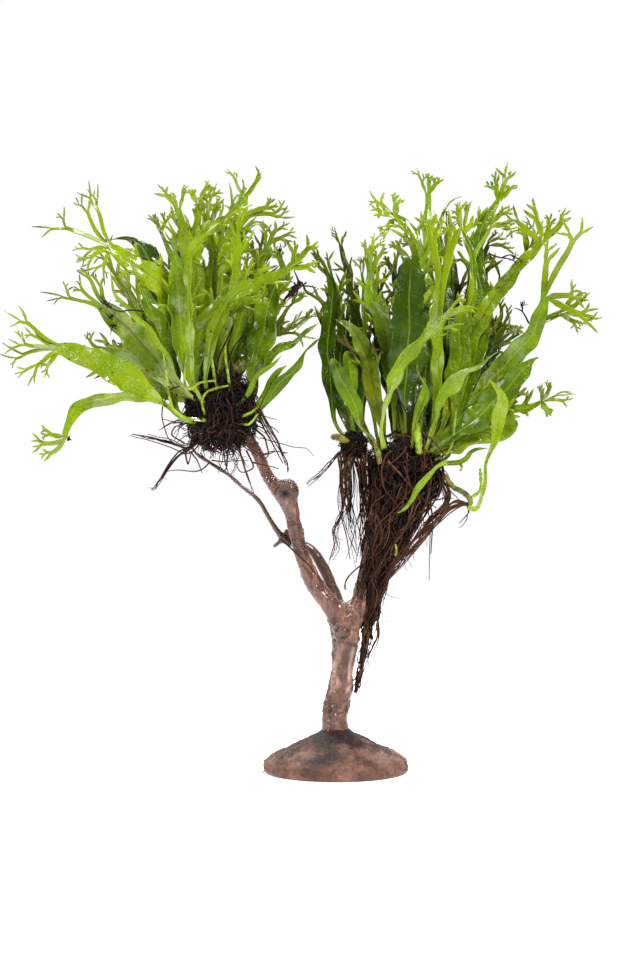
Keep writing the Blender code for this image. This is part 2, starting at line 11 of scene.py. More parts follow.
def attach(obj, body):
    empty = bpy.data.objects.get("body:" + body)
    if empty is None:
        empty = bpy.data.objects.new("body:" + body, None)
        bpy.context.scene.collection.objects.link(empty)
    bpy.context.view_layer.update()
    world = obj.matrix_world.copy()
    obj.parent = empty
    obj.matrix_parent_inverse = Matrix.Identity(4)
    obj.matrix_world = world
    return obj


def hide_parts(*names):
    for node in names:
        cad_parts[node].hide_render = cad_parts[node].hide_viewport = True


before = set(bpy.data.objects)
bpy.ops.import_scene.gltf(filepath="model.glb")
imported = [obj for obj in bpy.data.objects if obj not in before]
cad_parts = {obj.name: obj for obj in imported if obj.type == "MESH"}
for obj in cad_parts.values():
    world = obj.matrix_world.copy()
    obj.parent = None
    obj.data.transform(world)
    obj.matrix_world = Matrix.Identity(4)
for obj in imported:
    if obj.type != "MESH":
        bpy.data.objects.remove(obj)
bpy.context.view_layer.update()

MM = 0.001

# A set seed gives the same roots and lumps at each run.
noise.seed_set(5)

# The front view: where the eye is, in millimetres from the middle of the foot's underside.
VIEW_DISTANCE = 1250
VIEW_X = -10.7
VIEW_Z = 194
LENS = 70.3

# Sizes that all leaves share. A midrib shows only nearer to the middle than NO_RIB.
STALK_WIDTH = 3.2
PRONG_WIDTH = 4.4
EDGES_A_PRONG = 6
NO_RIB = 2.0
CUP = 0.1
BLADE_ROWS = 44
SMALL_BLADE_ROWS = 34
BLADE_THICKNESS = 0.4
LEAF_GRADES = ("tone", "wear", "across", "along", "tip", "side")

Ball = namedtuple("Ball", "x y z width depth height")
LEFT_BALL = Ball(-76, 0, 240, 25, 24, 30)
RIGHT_BALL = Ball(46, 0, 206, 24, 22, 21)
SIDE_BALL = Ball(12, 2, 218, 9.5, 11, 9.5)
BALLS = (LEFT_BALL, RIGHT_BALL, SIDE_BALL)

# The fern's leaves, as in the solids: the width that the front shows, the turn about the spine, the spine
# and the crest's tips. Here each row ends with how deep a green it has, partly the leaf's own colour and
# partly painted shade that makes leaves at the back or in shadow deeper, and how worn and brown it is.
Leaf = namedtuple("Leaf", "width turn spine tips tone wear")
Clump = namedtuple("Clump", "heart_x heart_z reach base_spread tip_spread")
LEFT_CLUMP = Clump(-82, 243, 150, 16, 78)
RIGHT_CLUMP = Clump(58, 212, 165, 16, 78)

LEFT_LEAVES = [
    Leaf(8, 50,
         [(-88, 245), (-95, 259), (-97, 287), (-98, 314), (-99, 334), (-95, 349), (-84, 360), (-71, 371),
          (-64, 380)],
         [(-75, 399), (-61, 392), (-49, 399)], 0.15, 0.1),
    Leaf(18, -25,
         [(-86, 234), (-103, 236), (-117, 246), (-139, 262), (-151, 269), (-164, 275), (-176, 279),
          (-185, 281)],
         [(-206, 258), (-196, 262), (-223, 273), (-219, 281), (-207, 296), (-213, 311)], 0.2, 0.45),
    Leaf(8.5, 30,
         [(-82, 246), (-87, 259), (-83, 287), (-72, 313), (-54, 325), (-37, 331), (-31, 335)],
         [(-29, 354), (-13, 356), (-11, 334)], 0.25, 0.5),
    Leaf(13, -25,
         [(-88, 247), (-97, 259), (-102, 287), (-105, 314), (-107, 337), (-108, 352)],
         [], 0.3, 0.1),
    Leaf(15, -25,
         [(-88, 246), (-97, 262), (-103, 291), (-114, 321), (-131, 335), (-145, 345), (-150, 348)],
         [(-157, 325), (-173, 336), (-175, 345), (-199, 367), (-170, 387), (-157, 392)], 0.2, 0.6),
    Leaf(8, 35,
         [(-86, 232), (-101, 234), (-114, 244), (-127, 249), (-149, 249), (-165, 245), (-174, 241),
          (-178, 233), (-181, 223)],
         [(-196, 208), (-202, 217), (-197, 226)], 0.12, 0.15),
    Leaf(12, 18,
         [(-84, 247), (-94, 259), (-92, 284), (-85, 302), (-74, 311), (-57, 314)],
         [(-45, 321), (-46, 313)], 0.3, 0.35),
    Leaf(4, 50,
         [(-66, 234), (-59, 236), (-52, 244), (-44, 257), (-39, 266), (-33, 271)],
         [], 0.3, 0.1),
    Leaf(9, 40,
         [(-85, 247), (-93, 260), (-96, 294), (-99, 327), (-101, 354), (-103, 367), (-105, 374)],
         [(-121, 389), (-109, 386), (-97, 389)], 0.1, 0.2),
    Leaf(18, 28,
         [(-88, 244), (-105, 254), (-114, 266), (-124, 279), (-135, 292), (-145, 301), (-155, 310)],
         [(-191, 313), (-176, 324), (-165, 339), (-155, 334)], 0.3, 0.7),
    Leaf(16, 30,
         [(-68, 236), (-62, 240), (-56, 264), (-49, 291), (-44, 314), (-39, 327), (-35, 333)],
         [(-41, 347), (-24, 344)], 0.45, 0.2),
    Leaf(5, -50,
         [(-66, 230), (-56, 233), (-47, 247), (-37, 259), (-27, 269), (-19, 281), (-11, 289)],
         [], 0.4, 0.1),
    Leaf(13, -35,
         [(-88, 236), (-102, 237), (-108, 245), (-110, 261), (-115, 284), (-125, 311), (-132, 327),
          (-135, 335)],
         [], 0.35, 0.2),
    Leaf(5, 50,
         [(-68, 236), (-57, 244), (-52, 264), (-45, 275), (-35, 282), (-24, 289), (-12, 299)],
         [], 0.4, 0.1),
    Leaf(9, -35,
         [(-83, 247), (-91, 260), (-91, 294), (-92, 327), (-94, 354), (-92, 371), (-91, 377)],
         [(-99, 387), (-87, 393), (-78, 387), (-79, 376)], 0.15, 0.2),
    Leaf(14, -32,
         [(-76, 247), (-77, 259), (-76, 284), (-73, 307), (-65, 324), (-62, 333)],
         [(-69, 338), (-59, 344), (-49, 339)], 0.4, 0.3),
    Leaf(13, -22,
         [(-80, 247), (-85, 260), (-83, 294), (-80, 321), (-74, 344), (-67, 361), (-61, 369)],
         [(-61, 387), (-39, 376), (-31, 370)], 0.2, 0.35),
    Leaf(18, 22,
         [(-88, 243), (-105, 251), (-124, 265), (-141, 273), (-157, 279)],
         [(-171, 280), (-168, 292)], 0.4, 0.6),
    Leaf(5, 45,
         [(-68, 238), (-58, 248), (-49, 281), (-41, 292), (-29, 295), (-20, 301)],
         [(-19, 307), (-11, 305)], 0.6, 0.6),
    Leaf(11, -25,
         [(-72, 244), (-69, 252), (-65, 277), (-60, 297), (-52, 311), (-48, 315)],
         [(-47, 325), (-40, 317)], 0.5, 0.3),
    Leaf(4, 40,
         [(-78, 246), (-82, 259), (-76, 301), (-67, 347), (-57, 363), (-48, 364), (-41, 354), (-41, 342)],
         [], 0.6, 0.4),
    Leaf(11, 20,
         [(-74, 244), (-71, 256), (-65, 287), (-59, 314), (-53, 331), (-51, 339)],
         [(-61, 351), (-52, 358), (-43, 352)], 0.5, 0.4),
    Leaf(20, -20,
         [(-86, 246), (-94, 259), (-107, 301), (-120, 330), (-127, 345), (-137, 355), (-150, 354)],
         [], 0.75, 0.1),
]

RIGHT_LEAVES = [
    Leaf(7, -50,
         [(32, 215), (30, 227), (32, 239), (36, 254), (41, 267), (49, 279), (59, 289), (67, 297),
          (78, 308)],
         [(85, 317), (93, 309)], 0.15, 0.0),
    Leaf(11, -25,
         [(58, 211), (63, 223), (67, 239), (74, 254), (83, 263), (93, 269), (108, 279)],
         [], 0.25, 0.1),
    Leaf(6, 45,
         [(50, 216), (52, 228), (55, 239), (58, 249), (59, 258), (55, 266), (54, 271)],
         [], 0.28, 0.0),
    Leaf(8, 40,
         [(58, 212), (63, 224), (67, 247), (68, 274), (67, 301), (69, 318)],
         [(55, 371), (82, 371)], 0.1, 0.1),
    Leaf(17, 28,
         [(58, 210), (71, 219), (89, 231), (106, 247), (119, 261), (129, 272), (135, 276)],
         [], 0.45, 0.2),
    Leaf(6, 25,
         [(58, 209), (73, 217), (96, 231), (116, 239), (129, 243), (136, 246)],
         [(137, 257), (144, 259), (156, 255), (156, 247), (141, 240)], 0.35, 0.3),
    Leaf(19, 8,
         [(58, 206), (71, 216), (83, 223), (96, 227), (109, 230), (121, 232)],
         [], 0.3, 0.6),
    Leaf(17, -25,
         [(58, 211), (70, 222), (84, 237), (99, 255), (113, 271), (124, 283), (131, 292), (136, 304),
          (139, 314)],
         [(139, 353), (171, 366), (168, 316), (174, 295)], 0.35, 0.4),
    Leaf(11, 25,
         [(28, 214), (23, 224), (16, 231), (12, 244), (8, 255), (1, 265), (-3, 275)],
         [], 0.45, 0.1),
    Leaf(25, -22,
         [(46, 214), (46, 229), (46, 254), (48, 281), (49, 307), (49, 327), (50, 340)],
         [(36, 352), (46, 358)], 0.7, 0.25),
    Leaf(12, 25,
         [(34, 214), (31, 230), (25, 254), (21, 274), (15, 289), (8, 297), (0, 301)],
         [], 0.5, 0.8),
    Leaf(10, -35,
         [(13, 219), (11, 230), (11, 244), (12, 257), (9, 269), (7, 280)],
         [], 0.4, 0.1),
    Leaf(12, 25,
         [(40, 214), (39, 229), (38, 251), (36, 274), (34, 291), (29, 304), (24, 314), (23, 331)],
         [(18, 352), (25, 358), (31, 349)], 0.25, 0.2),
    Leaf(15, 14,
         [(60, 204), (74, 209), (79, 227), (79, 247), (81, 266), (83, 287), (83, 307)],
         [], 0.42, 0.1),
    Leaf(17, 18,
         [(59, 211), (70, 227), (79, 257), (89, 289), (99, 306), (109, 320), (119, 333), (129, 344),
          (136, 352)],
         [(113, 370), (129, 378), (143, 370), (157, 371)], 0.4, 0.7),
    Leaf(11, 30,
         [(12, 219), (3, 226), (-2, 237), (-3, 254), (-5, 274), (-5, 294), (-3, 307), (-2, 321), (-4, 329)],
         [(-23, 341), (-15, 348), (-8, 347)], 0.7, 0.3),
    Leaf(10, -20,
         [(58, 212), (64, 224), (66, 261), (63, 294), (56, 334), (53, 355), (46, 365), (40, 369)],
         [(30, 357), (24, 373), (25, 386), (41, 383)], 0.2, 0.2),
    Leaf(13, 20,
         [(59, 211), (72, 224), (83, 247), (92, 275), (98, 301), (97, 321), (93, 339), (87, 354),
          (83, 362)],
         [], 0.45, 0.3),
    Leaf(8, -30,
         [(57, 212), (63, 225), (65, 261), (63, 294), (61, 347), (61, 374), (61, 384)],
         [(51, 399), (62, 399), (70, 394)], 0.25, 0.2),
    Leaf(9, 30,
         [(58, 211), (70, 225), (84, 281), (90, 314), (94, 341), (97, 362), (103, 372), (108, 380)],
         [(102, 397), (113, 405), (118, 391)], 0.4, 0.3),
    Leaf(5, 40,
         [(27, 214), (20, 228), (15, 247), (13, 307), (9, 321), (9, 331), (5, 341), (3, 350)],
         [(-5, 359), (-3, 362), (5, 359)], 0.7, 0.7),
    Leaf(12, -35,
         [(59, 210), (72, 222), (92, 261), (104, 284), (111, 297)],
         [(109, 314), (119, 311), (123, 294)], 0.9, 0.2),
    Leaf(5, 30,
         [(57, 212), (66, 224), (69, 250), (70, 287), (69, 341), (70, 369), (76, 379), (84, 383)],
         [], 0.5, 0.3),
]

LOOSE_LEAVES = [
    ("plantlet_leaf",
     Leaf(10, 25,
          [(88, 176), (94, 175), (98, 187), (100, 202), (104, 217), (109, 235), (110, 250), (103, 261)],
          [], 0.0, 0.0),
     Clump(95, 176, 100, 6, 60)),
    ("hanging_leaf",
     Leaf(4, 40,
          [(74, 206), (66, 202), (59, 194), (51, 182), (45, 175), (41, 172)],
          [], 0.2, 0.1),
     Clump(74, 206, 40, 16, 25)),
]

# Leaves that only the looks have, each with the number of the leaf that it stands just behind, from 0.
LEFT_SMALL_LEAVES = [
    (3, Leaf(3.5, 20, [(-84, 243), (-101, 254), (-117, 284), (-131, 301), (-144, 313), (-149, 324),
                       (-151, 334)], [], 0.15, 0.3)),
    (4, Leaf(3.5, 30, [(-70, 240), (-62, 247), (-54, 261), (-47, 267), (-37, 277)], [], 0.3, 0.0)),
    (6, Leaf(8, -30, [(-80, 246), (-80, 262), (-72, 300), (-66, 340), (-66, 356)],
             [(-75, 372), (-64, 382), (-56, 376)], 0.15, 0.1)),
    (14, Leaf(4, 30, [(-66, 240), (-56, 262), (-46, 282), (-40, 296), (-34, 307), (-30, 311)],
              [(-28, 318), (-20, 316)], 0.55, 0.1)),
    (9, Leaf(8, 30, [(-84, 246), (-88, 262), (-85, 300), (-82, 340), (-84, 360)],
             [(-93, 380), (-85, 388), (-76, 382)], 0.3, 0.2)),
    (11, Leaf(8, 30, [(-90, 242), (-104, 252), (-122, 290), (-138, 318), (-146, 330)],
              [(-160, 350), (-152, 356), (-141, 346)], 0.3, 0.7)),
    (13, Leaf(9, -30, [(-76, 246), (-74, 262), (-64, 300), (-50, 335), (-46, 350)],
              [(-48, 366), (-36, 366), (-28, 358)], 0.45, 0.3)),
    (15, Leaf(5, 30, [(-84, 246), (-92, 262), (-101, 310), (-109, 342), (-116, 357)],
              [(-108, 373), (-120, 372)], 0.4, 0.4)),
    (17, Leaf(12, 20, [(-80, 246), (-84, 262), (-90, 300), (-89, 336)], [], 0.75, 0.2)),
    (19, Leaf(10, -30, [(-72, 244), (-68, 258), (-58, 290), (-50, 314)],
              [(-42, 326), (-52, 330)], 0.65, 0.2)),
    (20, Leaf(10, 25, [(-86, 246), (-94, 262), (-100, 300), (-104, 332), (-106, 346)],
              [(-112, 356), (-106, 362), (-99, 358)], 0.8, 0.2)),
    (21, Leaf(12, -25, [(-78, 246), (-76, 262), (-74, 300), (-74, 330), (-76, 346)],
              [(-84, 360), (-76, 366), (-68, 360)], 0.8, 0.1)),
    (21, Leaf(12, 20, [(-86, 243), (-90, 258), (-93, 276), (-94, 300)], [], 0.95, 0.3)),
    (21, Leaf(12, -20, [(-74, 244), (-72, 258), (-68, 276), (-63, 296)], [], 0.9, 0.3)),
    (18, Leaf(9, 25, [(-80, 245), (-81, 258), (-82, 276), (-83, 294)], [], 0.8, 0.6)),
]
RIGHT_SMALL_LEAVES = [
    (5, Leaf(3.5, 25, [(60, 202), (77, 205), (85, 208), (91, 213), (101, 215)], [], 0.4, 0.1)),
    (10, Leaf(10, 25, [(54, 213), (57, 232), (60, 262), (60, 290), (56, 312)],
              [(50, 326), (58, 330)], 0.6, 0.2)),
    (12, Leaf(3.5, 40, [(30, 214), (24, 240), (19, 290), (19, 314), (17, 331)],
              [(12, 342), (16, 344), (19, 341)], 0.4, 0.2)),
    (13, Leaf(14, 25, [(46, 213), (42, 240), (35, 270), (30, 298), (28, 320)],
              [(20, 334), (29, 340), (37, 335)], 0.8, 0.2)),
    (14, Leaf(5, 30, [(58, 211), (72, 232), (86, 290), (92, 332), (86, 357)],
              [(78, 374), (83, 382), (90, 378), (95, 368)], 0.2, 0.2)),
    (16, Leaf(4, -30, [(59, 211), (72, 240), (86, 290), (90, 327), (94, 347), (103, 362)],
              [(115, 377), (117, 364)], 0.1, 0.1)),
    (17, Leaf(14, -20, [(59, 212), (66, 240), (72, 270), (75, 300), (73, 322)],
              [(66, 336), (76, 340)], 0.75, 0.2)),
    (18, Leaf(9, 25, [(59, 211), (78, 236), (92, 262), (101, 276), (106, 283)],
              [(106, 298), (114, 300), (121, 297), (125, 287)], 0.95, 0.2)),
    (19, Leaf(6, 30, [(59, 211), (76, 240), (92, 300), (97, 334), (101, 350)],
              [(106, 359), (113, 356), (118, 350)], 0.85, 0.3)),
    (20, Leaf(5, 35, [(59, 211), (74, 240), (86, 285), (90, 314), (97, 340), (104, 342), (109, 331),
                      (106, 320)], [], 0.85, 0.1)),
    (21, Leaf(12, 30, [(56, 212), (56, 240), (52, 280), (44, 310), (40, 330)],
              [(33, 342), (42, 350), (50, 344)], 0.9, 0.2)),
    (22, Leaf(10, -30, [(58, 212), (66, 240), (76, 290), (78, 330), (74, 348)],
              [(66, 360), (75, 366), (84, 358)], 0.8, 0.2)),
    (21, Leaf(10, 20, [(44, 212), (42, 228), (39, 246), (37, 266), (38, 286)], [], 0.95, 0.2)),
    (21, Leaf(11, -25, [(51, 212), (51, 228), (53, 246), (54, 268), (52, 292)], [], 0.85, 0.3)),
    (20, Leaf(10, 25, [(57, 211), (61, 226), (64, 244), (66, 266), (70, 288)], [], 0.95, 0.2)),
    (15, Leaf(7, 30, [(58, 210), (66, 224), (72, 240), (76, 258), (78, 276)], [], 0.7, 0.5)),
    (19, Leaf(13, -20, [(14, 219), (9, 236), (4, 256), (3, 278), (6, 300)],
              [(0, 313), (9, 316)], 0.7, 0.3)),
    (9, Leaf(8, 25, [(59, 211), (84, 238), (110, 264), (127, 284), (136, 299), (148, 305)],
             [(160, 323), (168, 314), (171, 301), (164, 293)], 0.45, 0.3)),
    (15, Leaf(7, -25, [(59, 211), (78, 262), (98, 300), (116, 330), (126, 344)],
              [(124, 364), (134, 372), (143, 364)], 0.25, 0.4)),
    (17, Leaf(12, 25, [(16, 219), (18, 240), (19, 262), (17, 285), (14, 304)],
              [(8, 316), (16, 320)], 0.75, 0.3)),
]

# Leaves without a crest that still have a few pointed lobes at their edges.
LOBED = ("left_leaf_04", "left_leaf_13", "right_leaf_05", "right_leaf_11", "right_leaf_18", "right_leaf_23")

# Leaves with a round end, leaves with a thin tail and where it starts, leaves that narrow early, the width
# of unusual crest straps, leaves with many lobes below the crest, and crested leaves with none.
ROUNDED = ("right_leaf_07", "right_leaf_09", "right_leaf_12", "right_leaf_14", "left_small_leaf_09",
           "left_small_leaf_13", "left_small_leaf_14", "right_small_leaf_13", "right_small_leaf_14")
TAILED = {"right_leaf_02": 0.66, "left_leaf_23": 0.83, "right_leaf_03": 0.7}
SLIM_TOPS = {"right_leaf_15": 0.42, "right_leaf_08": 0.15, "left_leaf_16": 0.2, "left_leaf_01": 0.3}
STRAP_WIDTHS = {"right_leaf_04": 8.5, "left_leaf_02": 3.1, "left_leaf_05": 2.9, "left_leaf_06": 3.4,
                "left_leaf_10": 2.8, "left_leaf_18": 2.6, "left_small_leaf_06": 2.4}
RAGGED = ("left_leaf_07", "left_leaf_17", "left_leaf_18", "right_leaf_22")
SMOOTH_EDGED = ("left_leaf_02", "left_leaf_06", "left_leaf_10", "right_leaf_04", "right_leaf_08",
                "right_leaf_15", "right_small_leaf_18", "right_small_leaf_19")

# How much of a leaf's length is a bare stalk; below 0 the blade is broad from its very start.
STALK_SHARE = 0.13
SMALL_STALK_SHARE = 0.2
ODD_STALKS = {
    "left_leaf_01": 0.2, "left_leaf_02": 0.3, "left_leaf_03": 0.16, "left_leaf_06": 0.26,
    "left_leaf_17": 0.2, "right_leaf_01": 0.2, "right_leaf_02": 0.34, "right_leaf_03": 0.25,
    "right_leaf_04": 0.25, "right_leaf_05": 0.2, "right_leaf_08": 0.28, "right_leaf_09": 0.36,
    "right_leaf_10": 0.2, "right_leaf_12": 0.5, "right_leaf_13": 0.22, "right_leaf_14": 0.36,
    "right_leaf_16": 0.2, "right_leaf_17": 0.25, "right_leaf_19": 0.3, "plantlet_leaf": 0.42,
    "left_small_leaf_13": -0.12, "left_small_leaf_14": -0.12, "left_small_leaf_15": 0.0,
    "right_small_leaf_13": -0.12, "right_small_leaf_14": -0.12, "right_small_leaf_15": -0.12,
    "right_small_leaf_16": 0.0, "right_small_leaf_17": -0.05,
}

# Each route of wood, stem or root is a list of x, y, z and radius, as in the solids.
FOOT_TOP = 26
TRUNK_ROUTE = [(-0.8, 0, FOOT_TOP - 1.5, 10.2), (-0.8, 0, 34, 9), (0.6, 0, 45, 8.9), (3, 0, 58, 8.3),
               (4.4, 0, 68, 8), (5.6, 0, 78, 8.4), (6.4, 0, 87, 9.5), (6, 0, 96, 10.6), (5.2, 0, 102, 10.6),
               (5, 0, 107, 8), (4.5, 0, 112, 4), (4.5, 0, 113, 1)]
LEFT_LIMB_ROUTE = [(3, 0, 97, 8), (-1, 0, 106, 7.2), (-5, 0, 113, 6.6), (-12, 0, 121, 5.8),
                   (-20.5, 0, 137, 5.2), (-25.5, 0, 154, 5), (-29, 0, 171, 5.2), (-32, -1, 180, 6.6),
                   (-36, -1, 186, 6.4), (-43, 0, 192.5, 4.8), (-47, 0, 199.5, 4.2), (-51.5, 0, 209.5, 4),
                   (-59, 0, 224, 3.8)]
RIGHT_LIMB_ROUTE = [(9, 0, 97, 8), (14, 0, 106, 7.8), (17.5, 0, 113, 7.4), (20, 0, 125, 7.2),
                    (23, 0, 137, 7), (26.5, 0, 161, 6.6), (31, 0, 187, 6), (36, 0, 204, 5)]
CROSS_TWIG_ROUTE = [(5, 6, 104, 3.6), (-4.7, 10, 127, 4), (-10.7, 11, 139, 3.8), (-18, 12, 148, 3.4),
                    (-27, 11.5, 151, 3), (-35, 9, 154, 2.6), (-44, 7, 167, 1.8), (-52, 6, 180.5, 1.7),
                    (-64, 6, 190.5, 1.6), (-74, 6, 199, 1.5), (-86, 6, 206.5, 1.4), (-94, 6, 212, 1.3),
                    (-97, 4, 219, 1.2), (-92, 2, 226, 1.1)]
TWIG_STUB_ROUTE = [(-32, 10, 151, 2.4), (-33, 10, 161, 2)]
TWIG_SPUR_ROUTE = [(-36, 8.5, 154, 2), (-42, 8, 149, 1.2)]
WOOD_ROUTES = [TRUNK_ROUTE, LEFT_LIMB_ROUTE, RIGHT_LIMB_ROUTE, CROSS_TWIG_ROUTE, TWIG_STUB_ROUTE,
               TWIG_SPUR_ROUTE]

# The wood: the first route that is a twig, how finely it is shaped, and where its marks are.
FIRST_TWIG = 3
WOOD_GRAIN = 0.8
KNOB = Vector((-32.8, -3.5, 186))
HOLLOW = Vector((-34.3, -11.5, 184))
KNOT = Vector((4, -10, 93))
CREASE_HEIGHT = 86
COLLAR_HEIGHT = 42

# The foot's profile as radius and height, and the height and closeness of its lumps.
FOOT_PROFILE = [(47, 0), (48.6, 2), (48.2, 6), (46.6, 8.4), (40, 12.2), (33, 15.2), (24, 19.6), (16, 23.6),
                (11.4, 26.2), (8.6, 28.8), (7, 30)]
FOOT_SEGMENTS = 288
FOOT_LUMPS = ((1.0, 0.09), (0.7, 0.25), (0.45, 0.8), (0.35, 1.7))

LEFT_STEM_ROUTE = [(-84, 0, 247, 2.4), (-78, 0, 257, 3.4), (-70, 0, 266, 4.2), (-63, 0, 270.5, 4.2)]
SIDE_STEM_ROUTE = [(9, -4, 219, 2), (2, -7, 222, 2.4), (-1.5, -8, 222.5, 2.2)]
RIGHT_STEM_ROUTE = [(26, -10, 219, 1.8), (27.5, -13, 213, 2), (28.5, -16, 206, 1.8)]
PLANTLET_STEM_ROUTE = [(72, -6, 197, 1.5), (77.5, -6, 189.5, 1.7), (84, -6, 186, 1.8), (89, -6, 181, 1.9),
                       (88, -6, 176, 1.4)]
SPROUT_ROUTE = [(88, -6, 181.5, 1.2), (95.5, -6, 187, 1), (96, -6, 196, 1), (95.5, -6, 201, 0.7)]

RIGHT_SHOOT_ROUTE = [(54, -14, 230, 1.4), (53, -19, 226, 2.2), (54, -21, 219, 2.4), (54, -21, 213, 2)]
CURLED_STALKS = [
    [(-95, -16, 233, 0.8), (-101, -28, 236, 1.1), (-107, -31, 242, 1), (-110, -30, 258, 0.9),
     (-113, -27, 277, 0.6)],
    [(-98, -24, 277, 0.6), (-99, -27, 258, 1), (-95, -27, 253.5, 1.1), (-89, -26, 257.5, 0.9),
     (-79, -22, 259, 0.5)],
    [(-86, -18, 236, 0.8), (-88, -23, 245, 0.9), (-85, -24, 251, 0.9), (-79, -22, 254, 0.9),
     (-71, -17, 256, 0.8)],
    [(-64, -13, 235, 0.7), (-60, -19, 236.5, 0.9), (-56, -18, 238.5, 0.9), (-51, -13, 242.5, 0.9)],
    [(-62, -14, 231, 0.6), (-58, -18, 230.5, 0.8), (-55, -17, 233, 0.8), (-51, -12, 239, 0.8)],
    [(-78, -14, 250, 1), (-80, -20, 262, 1), (-82, -22, 276, 1), (-83, -22, 290, 0.8)],
    [(-70, -12, 250, 1), (-71, -18, 262, 1), (-73, -20, 278, 1), (-72, -20, 294, 0.8)],
    [(61, -8, 205, 0.9), (75, -14, 214, 0.9), (78, -16, 232, 0.9), (79, -18, 246, 0.8)],
]
DEAD_STALKS = [
    [(-78, -10, 252), (-79, -17, 264), (-76, -20, 278), (-69, -22, 290), (-67, -22, 299), (-71, -22, 306)],
    [(-72, -10, 252), (-73, -18, 264), (-69, -20, 279), (-62, -22, 288), (-57, -22, 289)],
    [(-84, -12, 256), (-83, -18, 270), (-87, -20, 286)],
    [(-70, -12, 262), (-69, -18, 272), (-73, -20, 283)],
    [(-124, -48, 302), (-131, -50, 303), (-139, -52, 302), (-147, -54, 306), (-150, -55, 311)],
    [(46, -10, 220), (48, -14, 234), (40, -18, 250), (36, -20, 262)],
    [(52, -10, 222), (50, -14, 236), (55, -18, 252)],
]

# Withered dark bits on the crests: x and z as the front shows them, how far back, and their size.
WITHERED_TUFTS = [
    (-149, 296, -12, 5), (-154, 311, -13, 5), (-150, 303, -13, 3), (-179, 222, -44, 3), (-37, 348, -12, 4),
    (-58, 330, -14, 2), (120, 343, 16, 4), (124, 311, 20, 3), (52, 343, -2, 4), (-135, 301, -20, 2),
    (73, 372, 8, 3),
]
WITHERED_TWIGS = [
    [(-37, -2, 155), (-31, -6.5, 149.5), (-25, -7, 144), (-19, -7.5, 138.5), (-13.5, -7, 132)],
    [(103, 16, 347), (112, 16, 344), (120, 16, 342), (123, 16, 339)],
    [(112, 16, 344), (117, 16, 346), (122, 16, 345)],
    [(131, 20, 300), (126, 20, 308), (121, 20, 310)],
    [(126, 20, 308), (126, 20, 314)],
    [(-24, -6, 325), (-26.5, -8, 330), (-28, -10, 333)],
    [(-22, -6, 324), (-20, -7, 319), (-18, -8, 316.8), (-15, -8, 318.5), (-11.5, -8, 321)],
    [(-22, -6, 323), (-17, -7, 322.3), (-13.5, -8, 321.5)],
]
# A shrivelled leaf: x, y and z along it, and how far its strips stand apart there.
SHRIVELLED_LEAF = [(-24, -6, 324.5, 1.2), (-28, -6, 320, 1.2), (-32, -5.5, 315.5, 0.7), (-37, -5, 311, 0.2)]
GREEN_BITS = [
    [(-46, -14, 5.5, 0.5), (-48.6, -16, 6.4, 0.5), (-50.6, -17, 5.6, 0.3)],
    [(-46.6, -15, 3, 0.5), (-48.4, -18, 2, 0.5), (-50.2, -20, 0.9, 0.3)],
    [(39, -13, 152, 0.6), (39.6, -15, 148, 0.9), (39, -14, 144, 0.6)],
    [(80, -10, 206, 0.7), (83, -12, 203, 0.9), (82, -12, 200, 0.7)],
]

# The right mass: its core, near-black as painted shade deep in the tangle, and the middle, half width and
# half depth of its levels from top to bottom.
ROOT_COLUMN_ROUTE = [(44, 0, 200, 19), (40, 1, 187, 17), (36, 1, 172, 14.5), (31.5, 1, 155, 12),
                     (27, 1, 138, 9), (24, 1, 122, 6.4)]
MASS_LEVELS = [(47, 0, 208, 25, 20), (46, 0, 190, 24, 17), (40, 0, 172, 18, 14), (34, 0, 155, 14, 11),
               (28, 0, 138, 10.5, 9), (24, 0, 122, 8, 7), (23, 0, 108, 6.4, 6), (20.6, 0, 98, 4, 4),
               (20.2, 0, 86, 3, 3.2), (18, 3, 70, 2.1, 2.1), (13.6, 3, 54, 0.5, 0.5)]
